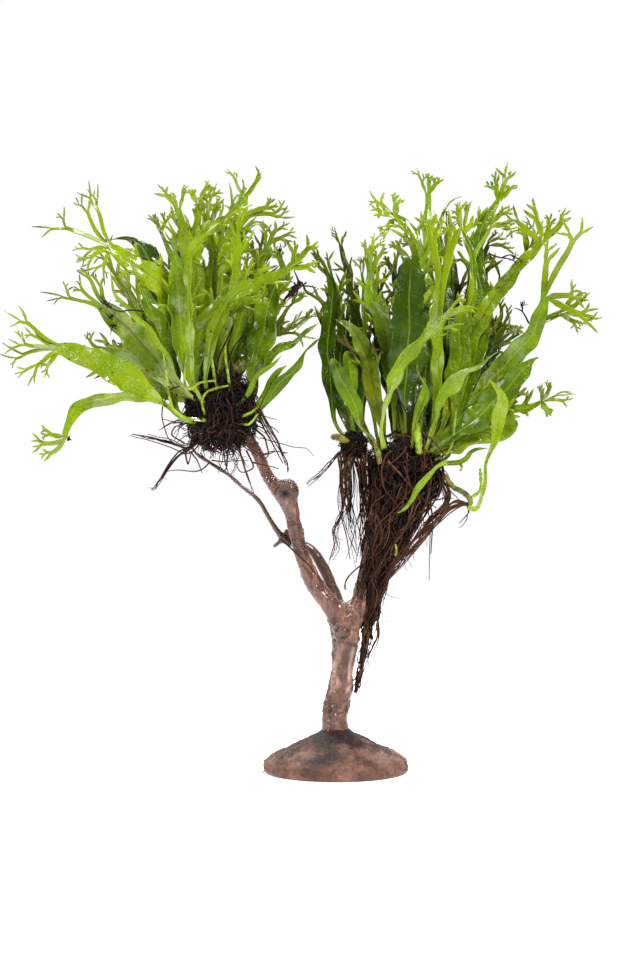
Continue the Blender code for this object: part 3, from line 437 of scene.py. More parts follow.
# Roots of the plantlet: x, y and z along them, and how far they stand apart there.
NODE_ROOTS = [(88, -6, 178, 0.5), (77, -7, 176, 1.2), (66, -8, 166, 1.6), (53, -8, 151, 2.2),
              (40, -7, 138, 2.2), (31, -5, 124, 1.8), (26, -4, 112, 1.6)]
LEFT_STRANDS = [
    [(-90, -6, 222), (-99, -8, 215), (-111, -10, 219), (-127, -14, 223), (-139, -16, 225)],
    [(-90, 2, 222), (-99, 2, 214), (-107, 4, 209), (-119, 6, 192), (-124, 8, 185)],
    [(-66, -4, 222), (-63, -8, 211), (-59, -10, 197), (-54, -12, 184)],
    [(-60, -10, 240), (-52, -14, 239), (-45, -15, 227), (-39, -15, 217), (-33, -14, 205),
     (-31.5, -14, 198)],
    [(-68, -6, 226), (-60, -12, 216), (-49, -14, 211), (-40, -16, 213), (-31, -18, 212)],
]
LEFT_LOOPS = [
    [(-104, -8, 256), (-110, -12, 253), (-115, -14, 242), (-112, -14, 225), (-107, -12, 219),
     (-98, -8, 214)],
    [(-100, -14, 218), (-108, -16, 224), (-105, -17, 229), (-99, -16, 227)],
    [(-98, -10, 231), (-107, -12, 233), (-115, -13, 234)],
    [(-101, -10, 214), (-98, -12, 204), (-95, -10, 212)],
    [(-96, -12, 213), (-92, -14, 206), (-89, -14, 199)],
    [(-83, -14, 206), (-86, -16, 203), (-94, -17, 200), (-106, -17, 201), (-111, -17, 199)],
    [(-90, -12, 212), (-82, -15, 204), (-70, -16, 198), (-66, -14, 206), (-63, -12, 212)],
    [(-82, -16, 207), (-70, -18, 206), (-57, -16, 207)],
    [(-76, -12, 218), (-74, -14, 206), (-71, -15, 198)],
    [(-71, -12, 214), (-73, -15, 203), (-76, -16, 199)],
    [(-52, -8, 238), (-46, -12, 226), (-41, -13, 214), (-36, -12, 206)],
    [(-54, -4, 228), (-47, -8, 221), (-44, -9, 212), (-48, -8, 206)],
    [(-50, -10, 222), (-41, -12, 219), (-30, -12, 217), (-19, -12, 214), (-14, -12, 210)],
    [(-56, -12, 206), (-47, -14, 204), (-37, -14, 202)],
    [(-60, 4, 214), (-56, 6, 203), (-63, 8, 199), (-68, 6, 207)],
]
RIGHT_LOOPS = [
    [(30, -19, 222), (38, -21, 223.5), (50, -21, 222)],
    [(56, -17, 226), (64, -19, 219), (70, -16, 211), (71, -14, 205)],
    [(58, -18, 221), (58, -21, 209), (56, -21, 199)],
    [(36, -20, 213), (31, -21, 207), (30, -19, 196), (34, -18, 186), (42, -17, 176)],
    [(46, -21, 216), (40, -21, 208), (33, -19, 203)],
    [(44, -20, 204), (49, -20, 190), (59, -17, 180), (66, -13, 176)],
    [(58, -17, 186), (49, -18, 180), (42, -17, 184)],
    [(44, -17, 178), (36, -16, 168), (30, -13, 150)],
    [(52, -14, 172), (44, -15, 160), (34, -13, 146), (28, -11, 130)],
    [(26, -14, 172), (30, -14, 156), (24, -12, 142), (26, -10, 126)],
    [(74, -7, 192), (79, -8, 184), (83, -8, 178)],
    [(75, -7, 186), (70, -8, 181), (60, -8, 178)],
    [(88, -7, 174), (85, -8, 169), (81, -9, 166)],
    [(88, -7, 173), (87, -8, 168), (83, -9, 163)],
    [(20, 2, 110), (28, -1, 100), (29, -2, 90), (25, 0, 80)],
]
# Strands of several roots: how many, how far they stand apart, their tone and their route.
RIGHT_STRANDS = [
    (9, 1.8, 0.6, [(62, -2, 208), (68, -4, 199), (74, -4, 181), (62, -6, 167), (49, -8, 151), (39, -8, 139),
                   (30, -6, 124)]),
    (2, 0.7, 0.45, [(54, -6, 192), (61, -8, 174), (61.5, -10, 150), (61, -10, 125)]),
    (2, 0.7, 0.45, [(33, -6, 150), (20, -9, 140), (8, -12, 130), (6, -12, 122), (12, -11, 118)]),
    (2, 0.7, 0.45, [(40, 8, 170), (52, 14, 152), (50, 16, 132)]),
    (2, 0.7, 0.45, [(66, -6, 206), (69, -8, 192), (65, -8, 180), (57, -8, 168), (50, -8, 156),
                    (42, -7, 142)]),
    (4, 0.6, 0.45, [(26, -2, 120), (29, -3, 107), (27, -3, 97), (27.5, -2, 90), (24, 0, 82), (20, 2, 74),
                    (17, 3, 65)]),
]
LIMB_COVER = [
    [(33, -6, 176), (27, -9, 158), (22, -9, 140), (18, -8, 124), (17, -7, 111)],
    [(36, -6, 170), (30, -10, 152), (26, -10, 136), (23, -9, 120), (22, -7, 104)],
]
TAIL_STRANDS = [
    [(27, -3, 128), (23.5, -3, 112), (21, -2, 98), (20, -1, 84), (17, 0, 69), (13.5, 2, 58), (12, 2, 51)],
    [(29, 2, 126), (24, 2, 110), (21.5, 2, 98), (19.5, 2, 82), (17.5, 3, 72)],
]
SIDE_STRANDS = [
    [(10, -2, 214), (8, -8, 205), (5, -9, 187), (3, -10, 171), (-1, -11, 161), (0, -12, 150),
     (-6, -13, 137)],
    [(8, 0, 214), (0, -8, 210), (-7, -11, 201), (-17, -14, 192), (-21, -15, 190)],
]


# Shader maths
class Value:
    """A socket of a material that takes part in arithmetic."""

    def __init__(self, shade, socket):
        self.shade = shade
        self.socket = socket

    def __add__(self, other):
        return self.shade.maths("ADD", self, other)

    __radd__ = __add__

    def __sub__(self, other):
        return self.shade.maths("SUBTRACT", self, other)

    def __rsub__(self, other):
        return self.shade.maths("SUBTRACT", other, self)

    def __mul__(self, other):
        return self.shade.maths("MULTIPLY", self, other)

    __rmul__ = __mul__


class Shade:
    """A material and the nodes that it is made of."""

    def __init__(self, name):
        self.material = bpy.data.materials.new(name)
        self.material.use_nodes = True
        self.tree = self.material.node_tree
        self.principled = self.tree.nodes["Principled BSDF"]
        self.place = self.node("ShaderNodeTexCoord", output="Object")

    def node(self, kind, settings=None, inputs=None, output=None):
        """Add a node with its settings, then its inputs by name or number, and give one of its outputs."""
        made = self.tree.nodes.new(kind)
        for key, value in (settings or {}).items():
            if key == "stops":
                self.set_stops(made.color_ramp, value)
            else:
                setattr(made, key, value)
        for key, value in (inputs or {}).items():
            self.feed(made.inputs[key], value)
        return Value(self, made.outputs[output]) if output is not None else made

    def set_stops(self, ramp, stops):
        while len(ramp.elements) < len(stops):
            ramp.elements.new(1)
        for element, (place, *colour) in zip(ramp.elements, stops):
            element.position = place
            element.color = tint(*colour)

    def feed(self, socket, value):
        if isinstance(value, Value):
            self.tree.links.new(value.socket, socket)
        else:
            socket.default_value = value

    def maths(self, operation, first, second):
        return self.node("ShaderNodeMath", {"operation": operation}, {0: first, 1: second}, "Value")

    def step(self, value, low, high):
        """0 under low and 1 over high, with a soft rise between."""
        return self.node("ShaderNodeMapRange", {"interpolation_type": "SMOOTHSTEP"},
                         {"Value": value, "From Min": low, "From Max": high}, "Result")

    def ramp(self, value, *stops):
        """A colour for each value, from stops that are a value and its tint."""
        return self.node("ShaderNodeValToRGB", {"stops": stops}, {0: value}, "Color")

    def mix(self, share, first, second):
        return self.node("ShaderNodeMix", {"data_type": "RGBA"}, {0: share, 6: first, 7: second}, 2)

    def noise(self, scale, detail=4.0, rough=0.5, twist=0.0, place=None):
        return self.node("ShaderNodeTexNoise", None,
                         {"Vector": place or self.place, "Scale": scale, "Detail": detail,
                          "Roughness": rough, "Distortion": twist}, "Fac")

    def cells(self, scale, feature="F1"):
        return self.node("ShaderNodeTexVoronoi", {"feature": feature},
                         {"Vector": self.place, "Scale": scale}, "Distance")

    def stretched(self, x, y, z):
        """The object's places, stretched along its axes."""
        return self.node("ShaderNodeMapping", None, {"Vector": self.place, "Scale": (x, y, z)}, "Vector")

    def grade(self, name):
        """A number that the mesh carries at each vertex."""
        return self.node("ShaderNodeAttribute", {"attribute_name": name}, None, "Fac")

    def bump(self, height, strength, distance, under=None):
        inputs = {"Height": height, "Strength": strength, "Distance": distance}
        if under:
            inputs["Normal"] = under
        return self.node("ShaderNodeBump", None, inputs, "Normal")

    def skin(self, **inputs):
        """Set the Principled shader's sockets by name, with _ for a space, and give the material."""
        for name, value in inputs.items():
            self.feed(self.principled.inputs[name.replace("_", " ")], value)
        return self.material


def tint(red, green, blue):
    """A colour as a screen shows it, 0 to 255, made linear for the shader."""
    def linear(part):
        part /= 255
        return part / 12.92 if part <= 0.04045 else ((part + 0.055) / 1.055) ** 2.4
    return (linear(red), linear(green), linear(blue), 1)


def leaf_look():
    """A wet blade with a netted skin; each blade brings its tone, partly painted shade, and its wear."""
    shade = Shade("fern_leaf")
    tone, wear, across, along, tip = map(shade.grade, ("tone", "wear", "across", "along", "tip"))
    broad = shade.noise(45, 3)
    fine = shade.noise(260, 4)
    # The tone deepens the green; the deeper tones of leaves at the back are partly painted shade.
    shift = tone + (broad - 0.5) * 0.75 + (shade.noise(110, 3, 0.6) - 0.5) * 0.35 + (fine - 0.5) * 0.2
    green = shade.ramp(shift, (0.0, 112, 133, 6), (0.3, 86, 109, 4), (0.6, 45, 65, 1), (1.0, 15, 27, 1))
    pale = 1 - shade.step(along, 0.05, 0.3)
    colour = shade.mix(pale * 0.55, green, tint(118, 132, 30))
    side = shade.maths("ABSOLUTE", across, 0)
    rib = (1 - shade.step(side, 0.25, 0.75)) * (1 - shade.step(along, 0.85, 1.0))
    rib_colour = shade.mix(shade.step(wear, 0.4, 0.75), tint(112, 132, 34), tint(50, 28, 8))
    colour = shade.mix(rib * 0.5, colour, rib_colour)
    vein = 1 - shade.step(shade.cells(330, "DISTANCE_TO_EDGE"), 0.0, 0.16)
    colour = shade.mix(vein * 0.14, colour, tint(24, 60, 2))
    colour = shade.mix(shade.step(tip, 0.2, 0.9) * 0.5, colour, tint(116, 128, 16))
    yellowed = shade.step(shade.noise(34, 3, 0.6) + wear * 0.12, 0.56, 0.72) * shade.step(wear, 0.25, 0.6)
    colour = shade.mix(yellowed * 0.4, colour, tint(122, 124, 10))
    spots = shade.step(shade.noise(120, 5, 0.65), 0.6, 0.7) * shade.step(wear, 0.15, 0.9)
    colour = shade.mix(spots * 0.8, colour, tint(82, 62, 16))
    specks = (1 - shade.step(shade.cells(120), 0.08, 0.14)) * shade.step(broad + wear * 0.3, 0.5, 0.62)
    colour = shade.mix(specks * 0.85, colour, tint(52, 36, 12))
    ends = shade.step(tip * 0.6 + shade.noise(30, 2) * 0.6 + wear * 0.45, 1.0, 1.12)
    colour = shade.mix(ends * 0.85, colour, tint(60, 36, 20))
    flatter = 1 - shade.step(tip, 0.1, 0.5)
    height = ((1 - vein) * 0.4 + fine * 0.15 - rib * 0.9) * flatter
    ripple = shade.bump(shade.noise(140, 3, 0.6) * flatter, 0.9, 0.0026)
    wet = shade.step(shade.noise(40, 3, 0.6), 0.46, 0.6)
    return shade.skin(
        Base_Color=colour,
        Roughness=0.32 - wet * 0.14 + spots * 0.3,
        Specular_IOR_Level=0.1,
        Coat_Weight=wet * (flatter * 0.55 + 0.25),
        Coat_Roughness=0.12,
        Normal=shade.bump(height, 0.3, 0.0005, ripple),
    )


def stem_look():
    """Green to mossy brown creeping stem, scaly and wet."""
    shade = Shade("fern_stem")
    age = shade.grade("tone")
    broad = shade.noise(150, 4)
    colour = shade.ramp(age + (broad - 0.5) * 0.9, (0.0, 126, 152, 12), (0.35, 100, 108, 12),
                        (0.7, 104, 74, 12), (1.0, 36, 22, 7))
    rot = shade.step(shade.noise(210, 5, 0.7) + age * 0.25, 0.54, 0.68)
    rough = shade.bump(shade.noise(300, 4, 0.7), 0.8, 0.0015)
    return shade.skin(
        Base_Color=shade.mix(rot * 0.85, colour, tint(34, 20, 6)),
        Roughness=0.3 + broad * 0.2,
        Specular_IOR_Level=0.35,
        Normal=shade.bump(shade.cells(700), 0.7, 0.0006, rough),
    )


def root_look():
    """Brown-black wiry roots with redder strands among them."""
    shade = Shade("fern_root")
    fine = shade.noise(900, 3)
    red = shade.grade("tone") + (shade.noise(60, 3) - 0.5) * 0.6
    return shade.skin(
        Base_Color=shade.ramp(red, (0.0, 8, 4, 2), (0.3, 27, 14, 8), (0.6, 58, 34, 22), (1.0, 110, 72, 52)),
        Roughness=0.3 + fine * 0.3,
        Specular_IOR_Level=0.1,
        Normal=shade.bump(fine, 0.5, 0.0004),
    )


def wood_look():
    """Peeled pinkish-brown driftwood, wet, with long grooves and pits, pale painted highlight streaks and
    painted shade.
    """
    shade = Shade("driftwood")
    grain = shade.noise(1, 6, 0.62, 0.8, shade.stretched(300, 300, 36))
    streaks = shade.noise(1, 4, 0.6, 1.6, shade.stretched(130, 130, 26))
    broad = shade.noise(85, 5, 0.62)
    pits = shade.noise(480, 4, 0.75)
    hollow = shade.grade("hollow")
    colour = shade.ramp(streaks * 0.55 + broad * 0.45, (0.36, 54, 29, 18), (0.46, 82, 49, 34),
                        (0.55, 114, 75, 56), (0.66, 170, 131, 113))
    # A painted highlight: pale streaks down both sides of the trunk's front, where a strip light would
    # reflect.
    colour = shade.mix(shade.grade("rubbed") * 0.9, colour, tint(192, 160, 150))
    colour = shade.mix((1 - shade.step(grain, 0.36, 0.48)) * 0.5, colour, tint(58, 33, 22))
    colour = shade.mix(shade.step(pits, 0.6, 0.7) * 0.5, colour, tint(50, 28, 18))
    colour = shade.mix((1 - shade.step(pits, 0.3, 0.38)) * 0.5, colour, tint(176, 150, 138))
    colour = shade.mix(shade.grade("bark") * 0.72, colour, tint(56, 31, 20))
    # Painted shade, near-black, in the knot hole, grooves, crease and sunken folds, with a darker collar
    # and front band.
    colour = shade.mix(hollow, colour, tint(22, 12, 8))
    ridges = shade.bump(grain, 0.9, 0.0016)
    lumps = shade.bump(shade.noise(190, 4, 0.6), 0.8, 0.0022, ridges)
    return shade.skin(
        Base_Color=colour,
        Roughness=0.2 + pits * 0.2 + shade.step(broad, 0.4, 0.6) * 0.2,
        Specular_IOR_Level=0.3,
        Coat_Weight=0.45 - hollow * 0.45,
        Coat_Roughness=0.11,
        Normal=shade.bump(pits, 0.8, 0.0009, lumps),
    )


def cement_look():
    """Brown grainy cement with a paler, pinkish rim and dark patches, a little darker towards the middle.
    """
    shade = Shade("cement")
    grit = shade.noise(900, 4, 0.7)
    lumps = shade.noise(160, 5, 0.6)
    broad = shade.noise(45, 3)
    rim = shade.grade("rim")
    patches = broad * 0.6 + lumps * 0.25 + shade.noise(380, 4, 0.6) * 0.15 - shade.grade("damp") * 0.08
    colour = shade.ramp(patches, (0.4, 30, 16, 11), (0.5, 70, 44, 34), (0.6, 126, 92, 79))
    colour = shade.mix(rim * 0.45, colour, tint(140, 98, 80))
    colour = shade.mix(shade.step(grit, 0.58, 0.68) * 0.45, colour, tint(34, 19, 13))
    colour = shade.mix((1 - shade.step(grit, 0.3, 0.4)) * 0.4, colour, tint(176, 146, 134))
    sheen = shade.step(broad * 0.6 + lumps * 0.4, 0.56, 0.66) * (1 - rim)
    rough = shade.bump(lumps, 1.0, 0.004)
    return shade.skin(
        Base_Color=shade.mix(sheen * 0.2, colour, tint(150, 134, 140)),
        Roughness=0.4 + grit * 0.2 - sheen * 0.3,
        Specular_IOR_Level=0.3,
        Normal=shade.bump(grit, 0.9, 0.0012, rough),
    )


def floor_look():
    """Matt white paper."""
    return Shade("white_floor").skin(
        Base_Color=tint(252, 252, 253),
        Roughness=0.9,
        Emission_Color=(1, 1, 1, 1),
        Emission_Strength=0.65,
    )


# Shared shaping
def clamp(value, low=0, high=1):
    return min(max(value, low), high)


def rise(value, start, run):
    """0 up to a start, then evenly up to 1 along a run."""
    return clamp((value - start) / run)


def hump(gap, width):
    """1 where there is no gap, and next to nothing at twice the width."""
    return exp(-((gap / width) ** 2))


def scatter(chance, wide=1.0, tall=1.0, lift=0.0):
    """A random direction or offset, about as wide and tall as given, raised by a lift."""
    return Vector((chance.gauss(0, wide), chance.gauss(0, wide), chance.gauss(lift, tall)))


def as_seen(x, y, z):
    """Place a point so that the front shows it at x and z, however far back it stands; in metres."""
    spread = (VIEW_DISTANCE + y) / VIEW_DISTANCE
    return Vector((VIEW_X + (x - VIEW_X) * spread, y, VIEW_Z + (z - VIEW_Z) * spread)) * MM


def smooth(points, steps):
    """Points along a smooth line through the given ones, with some steps on each stretch."""
    ends = [points[0], *points, points[-1]]
    line = []
    for stretch in zip(ends, ends[1:], ends[2:], ends[3:]):
        for step in range(steps):
            t = step / steps
            line.append(tuple(
                0.5 * (2 * b + (c - a) * t + (2 * a - 5 * b + 4 * c - d) * t * t
                       + (3 * b - a - 3 * c + d) * t**3)
                for a, b, c, d in zip(*stretch)
            ))
    line.append(tuple(points[-1]))
    return line


def new_form(*layers):
    """An empty bmesh whose vertices carry the named numbers."""
    form = bmesh.new()
    for layer in layers:
        form.verts.layers.float.new(layer)
    return form


def finish_piece(name, form, look, nodes=()):
    """Turn a bmesh into a smooth piece that rides on the plant and stands for its nodes."""
    mesh = bpy.data.meshes.new(name)
    form.to_mesh(mesh)
    form.free()
    mesh.shade_smooth()
    mesh.materials.append(look)
    piece = bpy.data.objects.new(name, mesh)
    bpy.context.scene.collection.objects.link(piece)
    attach(piece, "root")
    if nodes:
        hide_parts(*nodes)
    return piece


def evaluated_mesh(name, data, change=None):
    """The mesh that a curve or a mesh comes to, after the modifiers that change adds to it."""
    guide = bpy.data.objects.new(name, data)
    bpy.context.scene.collection.objects.link(guide)
    if change:
        change(guide.modifiers)
    bpy.context.view_layer.update()
    mesh = bpy.data.meshes.new_from_object(guide.evaluated_get(bpy.context.evaluated_depsgraph_get()))
    bpy.data.objects.remove(guide)
    return mesh


def strands_mesh(routes, rounding):
    """One mesh of closed tubes, each along its own list of x, y, z and radius in millimetres."""
    curve = bpy.data.curves.new("strands", "CURVE")
    curve.dimensions = "3D"
    curve.bevel_depth = MM
    curve.bevel_resolution = rounding
    curve.use_fill_caps = True
    for route in routes:
        spline = curve.splines.new("POLY")
        spline.points.add(len(route) - 1)
        for point, (x, y, z, radius) in zip(spline.points, route):
            point.co = (x * MM, y * MM, z * MM, 1)
            point.radius = radius
    mesh = evaluated_mesh("strands", curve)
    bpy.data.curves.remove(curve)
    return mesh


def add_strands(form, routes, tone, rounding=0, lumps=0):
    """Add closed tubes to a bmesh, all with one tone, with lumps of a height in millimetres."""
    mesh = strands_mesh(routes, rounding)
    tubes = bmesh.new()
    tubes.from_mesh(mesh)
    layer = tubes.verts.layers.float.new("tone")
    bmesh.ops.remove_doubles(tubes, verts=tubes.verts, dist=0.000005)
    for corner in tubes.verts:
        corner[layer] = tone
        if lumps:
            corner.co = corner.co + noise.noise_vector(corner.co * 700) * lumps * MM
    tubes.to_mesh(mesh)
    tubes.free()
    form.from_mesh(mesh)
    bpy.data.meshes.remove(mesh)


# Leaves
def in_ball(point, ball, margin):
    """Whether a point lies inside a ball grown by a margin."""
    middle = (ball.x, ball.y, ball.z)
    sizes = (ball.width, ball.depth, ball.height)
    return sum(((at - mid) / (size + margin)) ** 2 for at, mid, size in zip(point, middle, sizes)) < 1


class Spine:
    """The middle line of a blade in space, with its directions at any share of its length."""

    def __init__(self, name, leaf, clump, place, stalk):
        """The place is where the blade stands in its clump, from -1 at the front to 1 at the back."""
        self.name = name
        self.leaf = leaf
        self.stalk = ODD_STALKS.get(name, stalk)
        self.rounded = name in ROUNDED
        self.slim = SLIM_TOPS.get(name, 0)
        self.tail = TAILED.get(name, 1)
        self.strap = STRAP_WIDTHS.get(name, PRONG_WIDTH)
        self.fall = 0.1 if self.strap > PRONG_WIDTH else 0.55
        self.clump = clump
        self.base_depth = clump.base_spread * place
        self.tip_depth = clump.tip_spread * place
        line = [self.at(x, z) for x, z in smooth(leaf.spine, 6)]
        while any(in_ball(line[0], ball, -7) for ball in BALLS):
            line.pop(0)
        for ball in BALLS:
            if in_ball(line[0], ball, 6):
                line.insert(0, line[0].lerp(Vector((ball.x, ball.y, ball.z)), 0.5))
                break
        self.line = line
        self.lengths = [0.0]
        for start, end in zip(line, line[1:]):
            self.lengths.append(self.lengths[-1] + (end - start).length)
        self.length = self.lengths[-1]

    def at(self, x, z):
        """A point of the front view at the depth that the blade has there."""
        out = ((x - self.clump.heart_x) ** 2 + (z - self.clump.heart_z) ** 2) ** 0.5 / self.clump.reach
        depth = self.base_depth + (self.tip_depth - self.base_depth) * min(out, 1.3)
        return Vector((x, depth, z))

    def along(self, share):
        goal = share * self.length
        index = clamp(bisect.bisect_left(self.lengths, goal) - 1, 0, len(self.line) - 2)
        part = (goal - self.lengths[index]) / (self.lengths[index + 1] - self.lengths[index])
        return self.line[index].lerp(self.line[index + 1], clamp(part))

    def axes(self, share):
        """The directions ahead, across and to the front of the blade."""
        ahead = (self.along(min(share + 0.03, 1)) - self.along(max(share - 0.03, 0))).normalized()
        flat = Vector((ahead.z, 0, -ahead.x)).normalized()
        front = flat.cross(ahead)
        turn = self.turned(share)
        across = flat * cos(turn) + front * sin(turn)
        return ahead, across, across.cross(ahead)

    def turned(self, share):
        return radians(self.leaf.turn) * min(share * 2.5, 1)

    def half_width(self, share):
        """Half the blade's width: a stalk, a swell, and an end that suits the leaf's kind."""
        full = self.leaf.width / cos(self.turned(share)) / 2
        stalk = min(STALK_WIDTH / 2, full)
        swell = rise(share, self.stalk, 0.3)
        width = (full - stalk * 0.75) * swell * swell * (3 - 2 * swell)
        width += stalk * (1.15 - 0.4 * min(share * 8, 1))
        width *= 1 - self.slim * rise(share, 0.35, 0.3)
        width *= 1 - 0.68 * rise(share, self.tail, 0.1)
        if self.leaf.tips:
            return width * (1 - self.fall * rise(share, 0.6, 0.4) ** 2)
        if self.rounded:
            return width * (1 - min(rise(share, 0.78, 0.22), 0.995) ** 2) ** 0.5
        return width * max(1 - rise(share, 0.55, 0.45) ** 2.4, 0.02)


def extrude_row(form, row):
    """Extrude the edges between a row of vertices and give the new row in the same order."""
    edges = [form.edges.get((first, second)) for first, second in zip(row, row[1:])]
    grown = bmesh.ops.extrude_edge_only(form, edges=edges)["geom"]
    fresh = {item for item in grown if isinstance(item, bmesh.types.BMVert)}
    return [
        next(edge.other_vert(corner) for edge in corner.link_edges if edge.other_vert(corner) in fresh)
        for corner in row
    ]


def grow_strap(form, layers, row, path, widths, front, tips):
    """Extrude a row of vertices along a path, with a width at each step, and give the last row."""
    start = sum((corner.co for corner in row), Vector()) / len(row)
    for place, width, tip in zip(path, widths, tips):
        heading = (place - start).normalized()
        sideways = heading.cross(front).normalized()
        row = extrude_row(form, row)
        for number, corner in enumerate(row):
            share = 2 * number / (len(row) - 1) - 1
            corner.co = place + sideways * share * width / 2 + heading * width * 0.12 * (1 - share * share)
            corner[layers["tip"]] = tip
            corner[layers["along"]] = 1.0
            corner[layers["across"]] = share * width / 2 if width > PRONG_WIDTH * 1.2 else NO_RIB
        start = place
    return row


def branch(form, layers, row, heading, front, length, width, chance, plain=False):
    """Grow a strap from a row; a broad one parts into a long lobe and a short one that leans out."""
    begin = sum((corner.co for corner in row), Vector()) / len(row)
    sideways = heading.cross(front).normalized()
    curl = chance.uniform(-0.4, 0.4)
    sway = chance.uniform(-0.18, 0.18)
    pointed = plain or len(row) == 2
    run = length if pointed else length * chance.uniform(0.25, 0.5)
    path = [begin + (heading * share + (sideways * sway + front * curl) * share * share) * run
            for share in (0.3, 0.65, 1.0)]
    if pointed:
        grow_strap(form, layers, row, path, (width * 0.95, width * 0.68, 0.25), front, (0.65, 0.8, 1.0))
        return
    end = grow_strap(form, layers, row, path, (width, width * 0.92, width * 1.1), front, (0.5, 0.55, 0.6))
    ahead = (path[-1] - path[-2]).normalized()
    middle = len(end) // 2
    parts = [(end[:middle + 1], -1), (end[middle:], 1)]
    if chance.random() < 0.5:
        parts.reverse()
    sideways = ahead.cross(front).normalized()
    leans = (chance.uniform(6, 16), chance.uniform(28, 48))
    for (part, hand), lean, reach in zip(parts, leans, (1.0, 0.75)):
        way = ahead * cos(radians(lean)) + sideways * hand * sin(radians(lean))
        way = (way + front * hand * chance.uniform(0.05, 0.3)).normalized()
        left = (length - run) * reach * chance.uniform(0.85, 1.2)
        stops_here = lean > 20 and chance.random() < 0.4
        branch(form, layers, part, way, front, left, width * 0.74, chance, stops_here)


def side_lobes(form, layers, spine, rows, chance, count, low=0.66, steps=(3, 4, 5)):
    """Pointed lobes that leave the blade's edges near its crest."""
    for hand in (-1, 1):
        edge = [corner for corner in form.verts
                if corner.is_boundary and corner[layers["side"]] * hand > 0.99]
        edge.sort(key=lambda corner: corner[layers["along"]])
        place = int(rows * low)
        for _ in range(count):
            place += chance.choice(steps)
            if place + 2 > rows - 1:
                break
            row = edge[place:place + 3]
            if hand > 0:
                row.reverse()
            ahead, across, front = spine.axes(place / rows)
            lean = radians(chance.uniform(24, 44))
            heading = ahead * cos(lean) + across * hand * sin(lean) + front * chance.uniform(0.2, 0.5)
            branch(form, layers, row, heading.normalized(), front, chance.uniform(7, 19),
                   chance.uniform(2.4, 3.9), chance)


def lay_blade(form, layers, spine, rows, seed, waves):
    """Lay a flat grid along the spine, cupped, waved, blistered and ribbed, and give its last row."""
    shares = [row / rows for row in range(rows + 1)]
    sections = [(spine.along(share), *spine.axes(share), spine.half_width(share)) for share in shares]
    full = spine.half_width(0.5)
    ruffle = clamp(0.3 * full - 0.4, 0.3, 2.2)
    blisters = 0.15 + 0.05 * full
    sway = 0.9 if full < 4.5 else 0.4
    tip_grade, tip_start = (0.35, 0.8) if spine.leaf.tips else (0.8, 0.9)
    end_row = []

    def stray(x, y, layer):
        return noise.noise(Vector((x, y, seed + layer)))

    for corner in form.verts:
        side = corner.co.x
        row = round((corner.co.y + 1) / 2 * rows)
        share = shares[row]
        run = share * spine.length
        centre, ahead, across, front, half = sections[row]
        hand = 1 if side > 0 else -1
        uneven = 1 + 0.16 * stray(run / 16, hand * 7, 0) + 0.08 * stray(run / 6, hand * 9, 5)
        inner = rise(abs(side), 0.2, 0.8)
        settled = rise(share, 0.1, 0.2) * (1 - 0.5 * rise(share, 0.85, 0.15))
        wave = sin(2 * pi * waves * share + hand * 1.1 + seed + 2 * stray(share * 4, hand, 0))
        blister = blisters * stray(run / 5, side * half / 5, 20)
        sag = 0.5 * half * stray(share * 3, 0, 9) * side
        lift = (ruffle * wave * inner**1.5 + blister + sag - 0.35 * hump(side * half, 0.9)) * settled
        lift += CUP * half * side * side
        centre = centre + across * sway * sin(2 * pi * waves * 0.8 * share + seed) * settled
        corner.co = centre + across * side * half * uneven + front * lift
        corner[layers["side"]] = side
        corner[layers["across"]] = side * half
        corner[layers["along"]] = share
        corner[layers["tip"]] = tip_grade * rise(share, tip_start, 1 - tip_start)
        if row == rows:
            end_row.append(corner)
    return sorted(end_row, key=lambda corner: corner[layers["side"]])


def grow_crest(form, layers, spine, end_row, chance):
    """Part the blade's last row into prongs, each aimed at a tip of the crest and forked there."""
    ahead, across, front = spine.axes(1)
    crest = spine.along(1)

    def swing(point):
        reach = point - crest
        return atan2(reach.dot(across), reach.dot(ahead))

    def prong(root, tip, share):
        bend = root + ahead * (tip - root).length * 0.45 * max(cos(swing(tip)), 0.2)
        return root * (1 - share) ** 2 + bend * 2 * share * (1 - share) + tip * share**2

    tips = sorted((spine.at(x, z) for x, z in spine.leaf.tips), key=swing)
    starts = range(0, len(tips) * EDGES_A_PRONG, EDGES_A_PRONG)
    strips = [end_row[start:start + EDGES_A_PRONG + 1] for start in starts]
    roots = [(strip[0].co + strip[-1].co) / 2 for strip in strips]
    for number, (strip, root, tip) in enumerate(zip(strips, roots, tips)):
        stem = chance.uniform(0.36, 0.55)
        shares = [stem * step / 5 for step in range(1, 6)]
        layer_gap = front * (0.7 if number % 2 else -0.7)
        path = [prong(root, tip, share) + layer_gap * min(share * 4, 1) for share in shares]
        start_width = (strip[-1].co - strip[0].co).length
        widths = []
        for share in shares:
            rooms = [(prong(root, tip, share) - prong(*other, share)).length * 0.9
                     for count, other in enumerate(zip(roots, tips)) if count != number]
            widest = start_width + (spine.strap - start_width) * min(share / stem * 1.6, 1)
            widths.append(min([widest] + rooms))
        ends = [0.35 + 0.2 * share / stem for share in shares]
        end = grow_strap(form, layers, strip, path, widths, front, ends)
        heading = (path[-1] - path[-2]).normalized() + (tip - path[-1]).normalized()
        branch(form, layers, end, heading.normalized(), front, max((tip - path[-1]).length, 7) * 1.08,
               widths[-1] * 0.9, chance)


